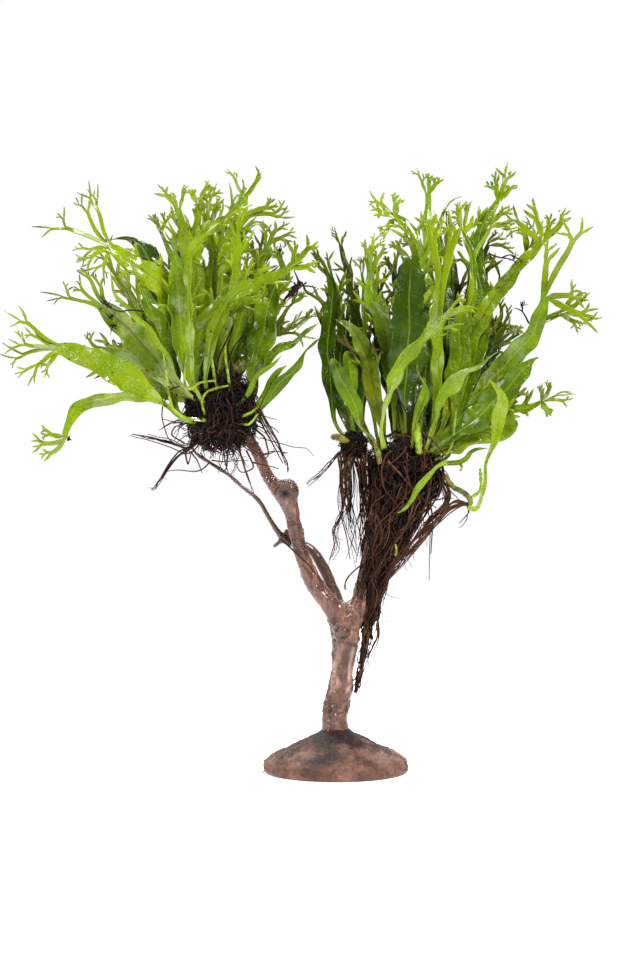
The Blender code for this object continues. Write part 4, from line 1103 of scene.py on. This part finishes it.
def grow_leaf(name, leaf, clump, place, small=False):
    """A whole leaf: stalk, waved blade with its midrib, and a crest that forks down to fine points."""
    spine = Spine(name, leaf, clump, place, SMALL_STALK_SHARE if small else STALK_SHARE)
    rows = SMALL_BLADE_ROWS if small else BLADE_ROWS
    chance = Random(name)
    form = new_form(*LEAF_GRADES)
    layers = {key: form.verts.layers.float[key] for key in LEAF_GRADES}
    columns = max(len(leaf.tips) * EDGES_A_PRONG, 12)
    bmesh.ops.create_grid(form, x_segments=columns, y_segments=rows, size=1)
    seed = chance.uniform(0, 100)
    waves = spine.length / chance.uniform(19, 27)
    end_row = lay_blade(form, layers, spine, rows, seed, waves)
    full = spine.half_width(0.5)
    if leaf.tips:
        if name in RAGGED:
            side_lobes(form, layers, spine, rows, chance, 6, 0.7, (2,))
        elif full > 3 and name not in SMOOTH_EDGED:
            side_lobes(form, layers, spine, rows, chance, 3 if full > 5 else 2)
        grow_crest(form, layers, spine, end_row, chance)
    elif name in LOBED:
        side_lobes(form, layers, spine, rows, chance, 2, 0.5)
    for corner in form.verts:
        corner.co = as_seen(*corner.co)
        corner[layers["tone"]] = leaf.tone
        corner[layers["wear"]] = leaf.wear
    bmesh.ops.recalc_face_normals(form, faces=form.faces)
    if small:
        piece = finish_piece(name, form, LEAF)
    else:
        piece = finish_piece(name + "_blade", form, LEAF, (name,))
    skin = piece.modifiers.new("thickness", "SOLIDIFY")
    skin.thickness = BLADE_THICKNESS * MM
    skin.offset = 0


def make_leaves():
    """Both clumps from front to back, then the leaves that grow elsewhere."""
    for side, clump, leaves, small_leaves in (
        ("left", LEFT_CLUMP, LEFT_LEAVES, LEFT_SMALL_LEAVES),
        ("right", RIGHT_CLUMP, RIGHT_LEAVES, RIGHT_SMALL_LEAVES),
    ):
        last = len(leaves) - 1
        for number, leaf in enumerate(leaves):
            grow_leaf(f"{side}_leaf_{number + 1:02}", leaf, clump, 2 * number / last - 1)
        for number, (behind, leaf) in enumerate(small_leaves):
            name = f"{side}_small_leaf_{number + 1:02}"
            grow_leaf(name, leaf, clump, 2 * (behind + 0.5) / last - 1, small=True)
    for name, leaf, clump in LOOSE_LEAVES:
        grow_leaf(name, leaf, clump, -1)


# Roots
def wander(chance, start, heading, length, steps, radius, pull=(0, 0, -0.3), swirl=0.5):
    """A root that feels its way from a start, drawn by a pull, as x, y, z and radius."""
    place = Vector(start)
    way = Vector(heading).normalized()
    drawn = Vector(pull)
    route = [(*place, radius)]
    for step in range(steps):
        way = (way + drawn * 0.3 + scatter(chance) * swirl * 0.35).normalized()
        place = place + way * length / steps
        route.append((*place, radius * (1 - 0.55 * (step + 1) / steps)))
    return route


def ball_point(ball, side, out=1.0):
    """A point on a ball's skin, in the direction of side."""
    return Vector((ball.x + side.x * ball.width * out, ball.y + side.y * ball.depth * out,
                   ball.z + side.z * ball.height * out))


def ball_strand(chance, ball, radius, length, out):
    """A root that crawls over a ball's skin."""
    side = Vector((chance.gauss(0, 1), chance.gauss(0, 1), chance.uniform(-1, 1))).normalized()
    axis = scatter(chance, 1, 0.6).normalized()
    route = []
    steps = 12
    size = (ball.width + ball.depth + ball.height) / 3
    for step in range(steps + 1):
        share = step / steps
        wave = out + 0.05 * sin(7 * share + chance.uniform(0, 0.6)) + 0.04 * chance.gauss(0, 1)
        route.append((*ball_point(ball, side, wave), radius * (1 - 0.4 * share)))
        turn = axis.cross(side).normalized() * length / size / steps
        side = (side + turn + scatter(chance) * 0.035).normalized()
    return route


def cover_ball(chance, form, ball, tones, radii, lengths, outs=(0.76, 0.98)):
    """Mat a ball with roots; each tone comes with how many roots have it."""
    for tone, count in tones:
        routes = [ball_strand(chance, ball, chance.uniform(*radii), chance.uniform(*lengths),
                              chance.uniform(*outs)) for _ in range(count)]
        add_strands(form, routes, tone)


def lumpy_ball(form, ball, shrink):
    """The dense heart of a mass of roots, near-black as painted shade deep in the tangle."""
    made = bmesh.ops.create_icosphere(form, subdivisions=5, radius=1)["verts"]
    layer = form.verts.layers.float["tone"]
    for corner in made:
        side = corner.co.copy()
        depth = shrink * (1 + 0.3 * noise.fractal(side * 2.2 + Vector((ball.x, 0, 0)), 1.0, 2.0, 4))
        corner.co = ball_point(ball, side, depth) * MM
        corner[layer] = 0.0


def twisted(chance, strand, copies, spread, radius):
    """Several thin roots that follow one strand side by side."""
    line = smooth(strand, 5)
    routes = []
    for copy in range(copies):
        off = scatter(chance) * spread
        seed = chance.uniform(0, 50)
        size = radius * chance.uniform(0.7, 1.15)
        last = max(int(len(line) * chance.uniform(0.72, 1.0)), 4)
        route = []
        for index, place in enumerate(line[:last]):
            share = index / (last - 1)
            drift = noise.noise_vector(Vector((index * 0.22, seed, copy))) * spread * 1.6
            point = Vector(place) + off * (0.5 + 0.5 * sin(3 * share + seed)) + drift
            route.append((*point, size * (1 - 0.6 * share)))
        routes.append(route)
    return routes


def side_hairs(chance, routes, share, length, radius=0.22):
    """Short hairs that stand off longer roots."""
    hairs = []
    for route in routes:
        for x, y, z, _ in route[2:]:
            if chance.random() < share:
                heading = scatter(chance, 1, 0.7, -0.2)
                hairs.append(wander(chance, (x, y, z), heading, chance.uniform(0.4, 1) * length, 5, radius))
    return hairs


def trailing(chance, points, radius, stray, share_kept=1.0):
    """A root along a smooth line through some points, straying a little and thinner towards its end."""
    line = smooth([tuple(point) for point in points], 6)
    line = line[:max(int(len(line) * share_kept), 6)]
    seed = chance.uniform(0, 90)
    route = []
    for index, place in enumerate(line):
        share = index / (len(line) - 1)
        drift = noise.noise_vector(Vector((index * 0.16, seed, 0))) * stray * min(share * 5, 1)
        route.append((*(Vector(place) + drift), radius * (1 - 0.6 * share)))
    return route


def bundle(chance, route, count, thin, thick):
    """Roots or strips that keep together along a route whose points say how far they stand apart."""
    strips = []
    for _ in range(count):
        points = [(x + chance.gauss(0, spread), y + chance.gauss(0, spread), z + chance.gauss(0, spread))
                  for x, y, z, spread in route]
        strips.append(trailing(chance, points, chance.uniform(thin, thick), 1.2, chance.uniform(0.75, 1.0)))
    return strips


def fuzz(chance, ball, count, length):
    """Fine hairs that stand off a ball of roots."""
    hairs = []
    for _ in range(count):
        side = scatter(chance, 1, 1, -0.1).normalized()
        start = ball_point(ball, side, chance.uniform(0.85, 0.98))
        heading = side + scatter(chance, 0.6, 0.6, -0.2)
        hairs.append(wander(chance, start, heading, chance.uniform(0.4, 1.0) * length, 4, 0.2, swirl=0.8))
    return hairs


def add_loops(chance, form, loops, thin, thick, stray, tone):
    """Single roots that loop out of a mass, with a hair here and there."""
    routes = [trailing(chance, loop, chance.uniform(thin, thick), stray) for loop in loops]
    add_strands(form, routes + side_hairs(chance, routes, 0.05, 5), tone, 1)


def make_left_roots():
    """The matted ball under the left clump, with roots that stand out all round its underside."""
    chance = Random(11)
    form = new_form("tone")
    lumpy_ball(form, LEFT_BALL, 0.72)
    tones = ((0.05, 130), (0.2, 130), (0.4, 80), (0.62, 30))
    cover_ball(chance, form, LEFT_BALL, tones, (0.3, 0.7), (14, 50))
    add_strands(form, fuzz(chance, LEFT_BALL, 420, 6), 0.25)
    for number, strand in enumerate(LEFT_STRANDS):
        routes = twisted(chance, strand, 7 if number < 2 else 3, 1.1, 0.75)
        routes += side_hairs(chance, routes, 0.06, 6, 0.25)
        add_strands(form, routes, 0.4 + 0.1 * (number % 3))
    add_loops(chance, form, LEFT_LOOPS, 0.4, 0.75, 1.5, 0.45)
    for tone, count in ((0.25, 42), (0.55, 34)):
        hanging = []
        for _ in range(count):
            side = (chance.gauss(0, 1.1), chance.gauss(0, 0.9), chance.uniform(-1, -0.1))
            side = Vector(side).normalized()
            start = ball_point(LEFT_BALL, side, 0.84)
            heading = (side.x, side.y, side.z * 0.8 + chance.gauss(0, 0.3))
            hanging.append(wander(chance, start, heading, chance.uniform(7, 26), 9,
                                  chance.uniform(0.3, 0.6), (0, 0, -0.22), 0.75))
        add_strands(form, hanging, tone)
    finish_piece("left_root_ball", form, ROOT, ("left_roots",))


def mass_root(chance):
    """A root that winds down through some levels of the right clump's mass."""
    angle = chance.uniform(0, 2 * pi)
    reach = chance.uniform(0.3, 1.0) ** 0.5
    drift = chance.gauss(0, 0.5)
    first = chance.choice((0, 0, 0, 1, 2))
    last = chance.choice((3, 3, 4, 4, 5, 5, 6, 6, 7, 8, 10)) + 1
    points = []
    for level, (x, y, z, wide, deep) in enumerate(MASS_LEVELS[first:max(last, first + 3)]):
        turn = angle + drift * level + chance.gauss(0, 0.22)
        out = reach + chance.gauss(0, 0.07)
        points.append((x + cos(turn) * wide * out, y + sin(turn) * deep * out, z + chance.uniform(-4, 4)))
    return trailing(chance, points, chance.uniform(0.35, 0.85), 4.4)


def make_right_roots():
    """The long shaggy mass that hangs from the right clump down along the limb and the trunk."""
    chance = Random(23)
    form = new_form("tone")
    lumpy_ball(form, RIGHT_BALL, 0.72)
    core = [(x, y, z, radius * 0.55) for x, y, z, radius in smooth(ROOT_COLUMN_ROUTE, 3)]
    # The core takes the darkest tone too: painted shade down the middle of the mass.
    add_strands(form, [core], 0.0, 2)
    for tone, count in ((0.05, 90), (0.22, 120), (0.42, 110), (0.62, 60), (0.85, 16)):
        add_strands(form, [mass_root(chance) for _ in range(count)], tone)
    add_loops(chance, form, RIGHT_LOOPS, 0.5, 0.85, 2.0, 0.55)
    cover_ball(chance, form, RIGHT_BALL, ((0.08, 60), (0.3, 70), (0.55, 30)), (0.35, 0.7), (14, 45))
    add_strands(form, fuzz(chance, RIGHT_BALL, 300, 6), 0.3)
    for copies, spread, tone, strand in RIGHT_STRANDS:
        routes = twisted(chance, strand, copies, spread, 0.7)
        routes += side_hairs(chance, routes, 0.05, 7)
        add_strands(form, routes, tone)
    for strand in LIMB_COVER:
        for tone in (0.15, 0.4, 0.65):
            add_strands(form, twisted(chance, strand, 8, 2.6, 0.75), tone)
    for number, strand in enumerate(TAIL_STRANDS):
        for tone in (0.3, 0.5, 0.75):
            add_strands(form, twisted(chance, strand, 6 - 2 * number, 1.1, 0.95), tone)
    add_strands(form, bundle(chance, NODE_ROOTS, 12, 0.45, 0.8), 0.62)
    loose = []
    for _ in range(70):
        x, y, z, wide, deep = MASS_LEVELS[chance.choice((0, 1, 1, 2, 2, 3, 3, 4, 5, 6))]
        angle = chance.uniform(0, 2 * pi)
        start = (x + cos(angle) * wide * 0.85, y + sin(angle) * deep * 0.85, z)
        loose.append(wander(chance, start, (cos(angle), sin(angle), -1.4), chance.uniform(8, 32), 10,
                            chance.uniform(0.25, 0.5), (-cos(angle) * 0.15, 0, -0.35), 0.75))
    add_strands(form, loose, 0.5)
    finish_piece("right_root_mass", form, ROOT, ("right_roots",))


def curtain_root(chance):
    """A root of the side clump that leans into the larger mass on its way down."""
    start = Vector((chance.uniform(2, 24), chance.uniform(-7, 8), chance.uniform(206, 216)))
    low = Vector((17 + chance.gauss(0, 4), chance.gauss(-3, 4), chance.uniform(126, 146)))
    bow = 3 if start.x > 12 else -5
    points = []
    for share in (0, 0.25, 0.5, 0.75, 1.0):
        stray = Vector((bow * sin(pi * share) + chance.gauss(0, 1.3), chance.gauss(0, 1.3), 0))
        points.append(start + (low - start) * share + stray)
    return trailing(chance, points, chance.uniform(0.35, 0.7), 3.0, chance.uniform(0.45, 1.0))


def make_side_roots():
    """The little clump's roots between the two limbs, with the curtain that hangs into the larger mass."""
    chance = Random(37)
    form = new_form("tone")
    lumpy_ball(form, SIDE_BALL, 0.75)
    cover_ball(chance, form, SIDE_BALL, ((0.1, 60), (0.4, 50)), (0.3, 0.6), (8, 24), (0.8, 1.0))
    add_strands(form, fuzz(chance, SIDE_BALL, 130, 5), 0.3)
    for (copies, spread), strand in zip(((7, 1.8), (4, 1.1)), SIDE_STRANDS):
        routes = twisted(chance, strand, copies, spread, 0.6)
        routes += side_hairs(chance, routes, 0.08, 6)
        add_strands(form, routes, 0.5)
    for tone, count in ((0.15, 26), (0.4, 30), (0.65, 14)):
        curtain = [curtain_root(chance) for _ in range(count)]
        curtain += side_hairs(chance, curtain, 0.03, 6)
        add_strands(form, curtain, tone)
    finish_piece("side_root_tuft", form, ROOT, ("side_roots",))


# Stems
def knobbly(form, route, tone):
    """A stem with scaly lumps and rounded ends."""
    line = smooth(route, 6)
    bumpy = [(x, y, z, radius * (1 + 0.1 * sin(index * 1.9)))
             for index, (x, y, z, radius) in enumerate(line)]
    rounded = []
    for inner, outer in ((line[1], line[0]), (line[-2], line[-1])):
        ahead = (Vector(outer[:3]) - Vector(inner[:3])).normalized()
        rounded.append([(*(Vector(outer[:3]) + ahead * outer[3] * reach), outer[3] * size)
                        for reach, size in ((0.3, 0.95), (0.65, 0.76), (0.88, 0.47), (1.0, 0.1))])
    add_strands(form, [rounded[0][::-1] + bumpy + rounded[1]], tone, 3, 0.5)


def make_stems():
    """The creeping stems where they show between the roots."""
    for name, *routes in (
        ("left_stem", (LEFT_STEM_ROUTE, 0.5)),
        ("side_stem", (SIDE_STEM_ROUTE, 0.5)),
        ("right_stem", (RIGHT_STEM_ROUTE, 0.4), (RIGHT_SHOOT_ROUTE, 0.15)),
        ("plantlet_stem", (PLANTLET_STEM_ROUTE, 0.45), (SPROUT_ROUTE, 0.05)),
    ):
        form = new_form("tone")
        for route, tone in routes:
            knobbly(form, route, tone)
        finish_piece(name + "_skin", form, STEM, (name,))


def make_green_stalks():
    """Bare green stalks that curl out of the left clump, and a few green bits."""
    form = new_form("tone")
    for number, route in enumerate(CURLED_STALKS):
        add_strands(form, [smooth(route, 6)], 0.1 + 0.06 * (number % 4), 2, 0.2)
    add_strands(form, [smooth(route, 4) for route in GREEN_BITS], 0.2, 1, 0.2)
    finish_piece("curled_stalks", form, STEM)


def make_dead_stalks():
    """Dead stalks between the leaves, withered tufts and twigs, and a shrivelled leaf."""
    chance = Random(53)
    form = new_form("tone")
    stalks = [trailing(chance, stalk, 0.7, 0.8) for stalk in DEAD_STALKS + WITHERED_TWIGS]
    for x, z, depth, size in WITHERED_TUFTS:
        for _ in range(9):
            start = as_seen(x + chance.gauss(0, size * 0.25), depth, z + chance.gauss(0, size * 0.25)) / MM
            heading = (chance.gauss(0, 1), chance.gauss(-0.3, 0.5), chance.gauss(0.2, 1))
            stalks.append(wander(chance, start, heading, chance.uniform(0.5, 1.3) * size, 6,
                                 chance.uniform(0.25, 0.5), (0, 0, -0.2), 1.0))
    stalks += side_hairs(chance, stalks[:len(DEAD_STALKS)], 0.12, 4, 0.3)
    add_strands(form, stalks, 0.16, 1)
    add_strands(form, bundle(chance, SHRIVELLED_LEAF, 12, 0.5, 0.9), 0.22, 1)
    finish_piece("dead_stalks", form, ROOT)


# Driftwood
def nearest_on_routes(point, lines):
    """The number of the nearest line, its way ahead there and the offset from it, in millimetres."""
    best = None
    for number, line in enumerate(lines):
        for index, (x, y, z, radius) in enumerate(line[:-1]):
            gap = (point - Vector((x, y, z))).length - radius
            if best is None or gap < best[0]:
                best = (gap, number, index)
    _, number, index = best
    line = lines[number]
    start = Vector(line[index][:3])
    ahead = (Vector(line[index + 1][:3]) - start).normalized()
    return number, ahead, point - start


def fused_wood(lines):
    """The limbs and the knob as one closed mesh, softened where they meet."""
    form = new_form("tone")
    add_strands(form, lines, 0.0, 4)
    knob = bmesh.ops.create_uvsphere(form, u_segments=24, v_segments=16, radius=1)["verts"]
    for corner in knob:
        corner.co = (KNOB + Vector((corner.co.x * 8.4, corner.co.y * 8, corner.co.z * 8.6))) * MM
    rough = bpy.data.meshes.new("wood")
    form.to_mesh(rough)
    form.free()

    def fuse(modifiers):
        remesh = modifiers.new("fuse", "REMESH")
        remesh.mode = "VOXEL"
        remesh.voxel_size = WOOD_GRAIN * MM
        soften = modifiers.new("soften", "SMOOTH")
        soften.factor = 0.5
        soften.iterations = 12

    mesh = evaluated_mesh("wood_rough", rough, fuse)
    bpy.data.meshes.remove(rough)
    form = bmesh.new()
    form.from_mesh(mesh)
    bpy.data.meshes.remove(mesh)
    return form


def make_wood():
    """The peeled branch in one piece, fused where its limbs meet, with grooves, ridges and a knot."""
    lines = [smooth(route, 4) for route in WOOD_ROUTES]
    form = fused_wood(lines)
    hollow, bark, rubbed = (form.verts.layers.float.new(name) for name in ("hollow", "bark", "rubbed"))
    form.normal_update()
    moved = []
    for corner in form.verts:
        point = corner.co / MM
        number, ahead, off = nearest_on_routes(point, lines)
        twig = number >= FIRST_TWIG
        trunk = 1 if number == 0 else 0
        side = ahead.cross(Vector((0, 1, 0))).normalized()
        angle = atan2(off.dot(ahead.cross(side)), off.dot(side))
        run = point.z * 0.05 + number * 3
        folds = noise.noise(Vector((cos(angle) * 1.7, sin(angle) * 1.7, run)))
        grooves = noise.noise(Vector((cos(angle) * 4.5, sin(angle) * 4.5, run * 1.6)))
        pits = noise.noise(point * 0.55)
        rugged = max(noise.noise(point * 0.11 + Vector((9, 0, 4))), 0)
        lift = 0.9 * folds - 0.7 * max(grooves, 0) + 0.35 * pits + 0.7 * noise.noise(point * 0.16)
        lift += 1.1 * rugged * noise.noise(point * 0.5)
        if twig:
            lift *= 0.35
        waver = 1.5 * noise.noise(point * 0.12)
        dent = hump((point - HOLLOW).length, 4.4 + 1.4 * pits)
        on_knob = exp(-(((point - KNOB).length / 9.5) ** 6))
        to_knot = (point - KNOT).length
        ring = hump(to_knot - 4.2, 1.1)
        crease = hump(point.z - CREASE_HEIGHT + 0.2 * off.x + waver, 0.8) * trunk
        collar = hump(point.z - COLLAR_HEIGHT, 5) * trunk
        lift += 1.2 * hump(to_knot, 3.4) - 0.7 * ring - 0.7 * crease - 3.2 * dent
        lift += 2.0 * collar * noise.noise(point * 0.5)
        moved.append((corner, corner.co + corner.normal * lift * MM))
        # Down the trunk's front, from z 50 to 84: a darker band in the middle, and a painted highlight as
        # pale streaks at both sides.
        length = rise(point.z, 50, 6) * rise(-point.z, -84, 5) * trunk
        band = hump(off.x - waver, 2.2) * length if off.y < 0 else 0
        streak = hump(abs(off.x + waver) - 5, 1.2) * length
        # Painted shade in the knot hole, in the groove round the knot, in the crease and in the sunken
        # folds; the collar and the front band are made darker too.
        dark = 1.1 * dent + 0.25 * collar + 0.5 * ring + 0.45 * crease + 0.5 * band
        corner[hollow] = min(dark + max(0, -folds * 0.5), 1)
        corner[bark] = max(1.0 if twig else 0.45 if number == 1 else 0.0, 0.8 * on_knob)
        corner[rubbed] = streak * (0.6 + 0.8 * noise.noise(point * 0.3))
    for corner, place in moved:
        corner.co = place
    finish_piece("driftwood_branch", form, WOOD,
                 nodes=("trunk", "left_limb", "right_limb", "cross_twig"))


# Foot
def make_foot():
    """The hand-shaped cement cone, with a lumpy skin and an uneven rim."""
    form = new_form("rim", "damp")
    rim, damp = (form.verts.layers.float[name] for name in ("rim", "damp"))
    line = smooth(FOOT_PROFILE, 9)
    bmesh.ops.create_circle(form, segments=FOOT_SEGMENTS, radius=line[0][0] * MM, cap_ends=True)
    row = list(form.edges)
    for radius, height in line[1:]:
        grown = bmesh.ops.extrude_edge_only(form, edges=row)["geom"]
        row = [item for item in grown if isinstance(item, bmesh.types.BMEdge)]
        for corner in grown:
            if isinstance(corner, bmesh.types.BMVert):
                flat = Vector((corner.co.x, corner.co.y, 0)).normalized()
                corner.co = flat * radius * MM + Vector((0, 0, height * MM))
    bmesh.ops.holes_fill(form, edges=row, sides=0)
    bmesh.ops.recalc_face_normals(form, faces=form.faces)
    form.normal_update()
    for corner in form.verts:
        point = corner.co / MM
        if point.z < 0.01:
            continue
        reach = Vector((point.x, point.y, 0)).length
        lump = -0.6 if reach > 45 else 0
        on_rim = 1.3 * hump(reach - 47.5, 2.4)
        for size, scale in (*FOOT_LUMPS, (on_rim, 0.4)):
            lump += size * noise.noise(point * scale)
        fade = min(point.z / 4, 1) * max(rise(reach, 9, 5), 0.1)
        corner.co = corner.co + corner.normal * lump * fade * MM
        corner[rim] = rise(reach, 41, 5) * (0.6 + 0.6 * noise.noise(point * 0.15))
        corner[damp] = rise(-reach, -34, 18)
    finish_piece("cement_foot", form, CEMENT, ("foot",))


# Stage
def make_stage():
    """Pale floor, soft studio light and the camera at the front."""
    scene = bpy.context.scene
    bpy.ops.mesh.primitive_plane_add(size=4, location=(0, 0, -0.0003))
    floor = bpy.context.object
    floor.name = "floor"
    floor.data.materials.append(floor_look())
    scene.world = bpy.data.worlds.new("white_room")
    scene.world.use_nodes = True
    tree = scene.world.node_tree
    background = tree.nodes["Background"]
    background.inputs["Color"].default_value = (1, 1, 1, 1)
    seen = tree.nodes.new("ShaderNodeLightPath")
    strength = tree.nodes.new("ShaderNodeMapRange")
    strength.inputs["To Min"].default_value = 0.1
    tree.links.new(seen.outputs["Is Camera Ray"], strength.inputs["Value"])
    tree.links.new(strength.outputs["Result"], background.inputs["Strength"])
    for name, place, aim, size, power in (
        ("key", (0.55, -0.9, 1.25), (0, 0, 0.25), 0.4, 40),
        ("fill", (-1.1, -0.6, 0.7), (0, 0, 0.25), 0.5, 12),
        ("top", (-0.2, 0.5, 1.4), (0, 0, 0.3), 0.5, 26),
        ("backdrop", (0, 1.3, 0.7), (0, 0, 0.3), 2.0, 16),
    ):
        lamp = bpy.data.lights.new(name, "AREA")
        lamp.size = size
        lamp.energy = power
        light = bpy.data.objects.new(name, lamp)
        light.location = place
        light.visible_camera = False
        light.rotation_euler = (Vector(aim) - Vector(place)).to_track_quat("-Z", "Y").to_euler()
        scene.collection.objects.link(light)
    lens = bpy.data.cameras.new("front_camera")
    lens.lens = LENS
    camera = bpy.data.objects.new("front_camera", lens)
    camera.location = Vector((VIEW_X, -VIEW_DISTANCE, VIEW_Z)) * MM
    camera.rotation_euler = (radians(90), 0, 0)
    scene.collection.objects.link(camera)
    scene.camera = camera
    scene.view_settings.view_transform = "Standard"


LEAF = leaf_look()
STEM = stem_look()
ROOT = root_look()
WOOD = wood_look()
CEMENT = cement_look()

make_stage()
make_leaves()
make_left_roots()
make_right_roots()
make_side_roots()
make_stems()
make_green_stalks()
make_dead_stalks()
make_wood()
make_foot()
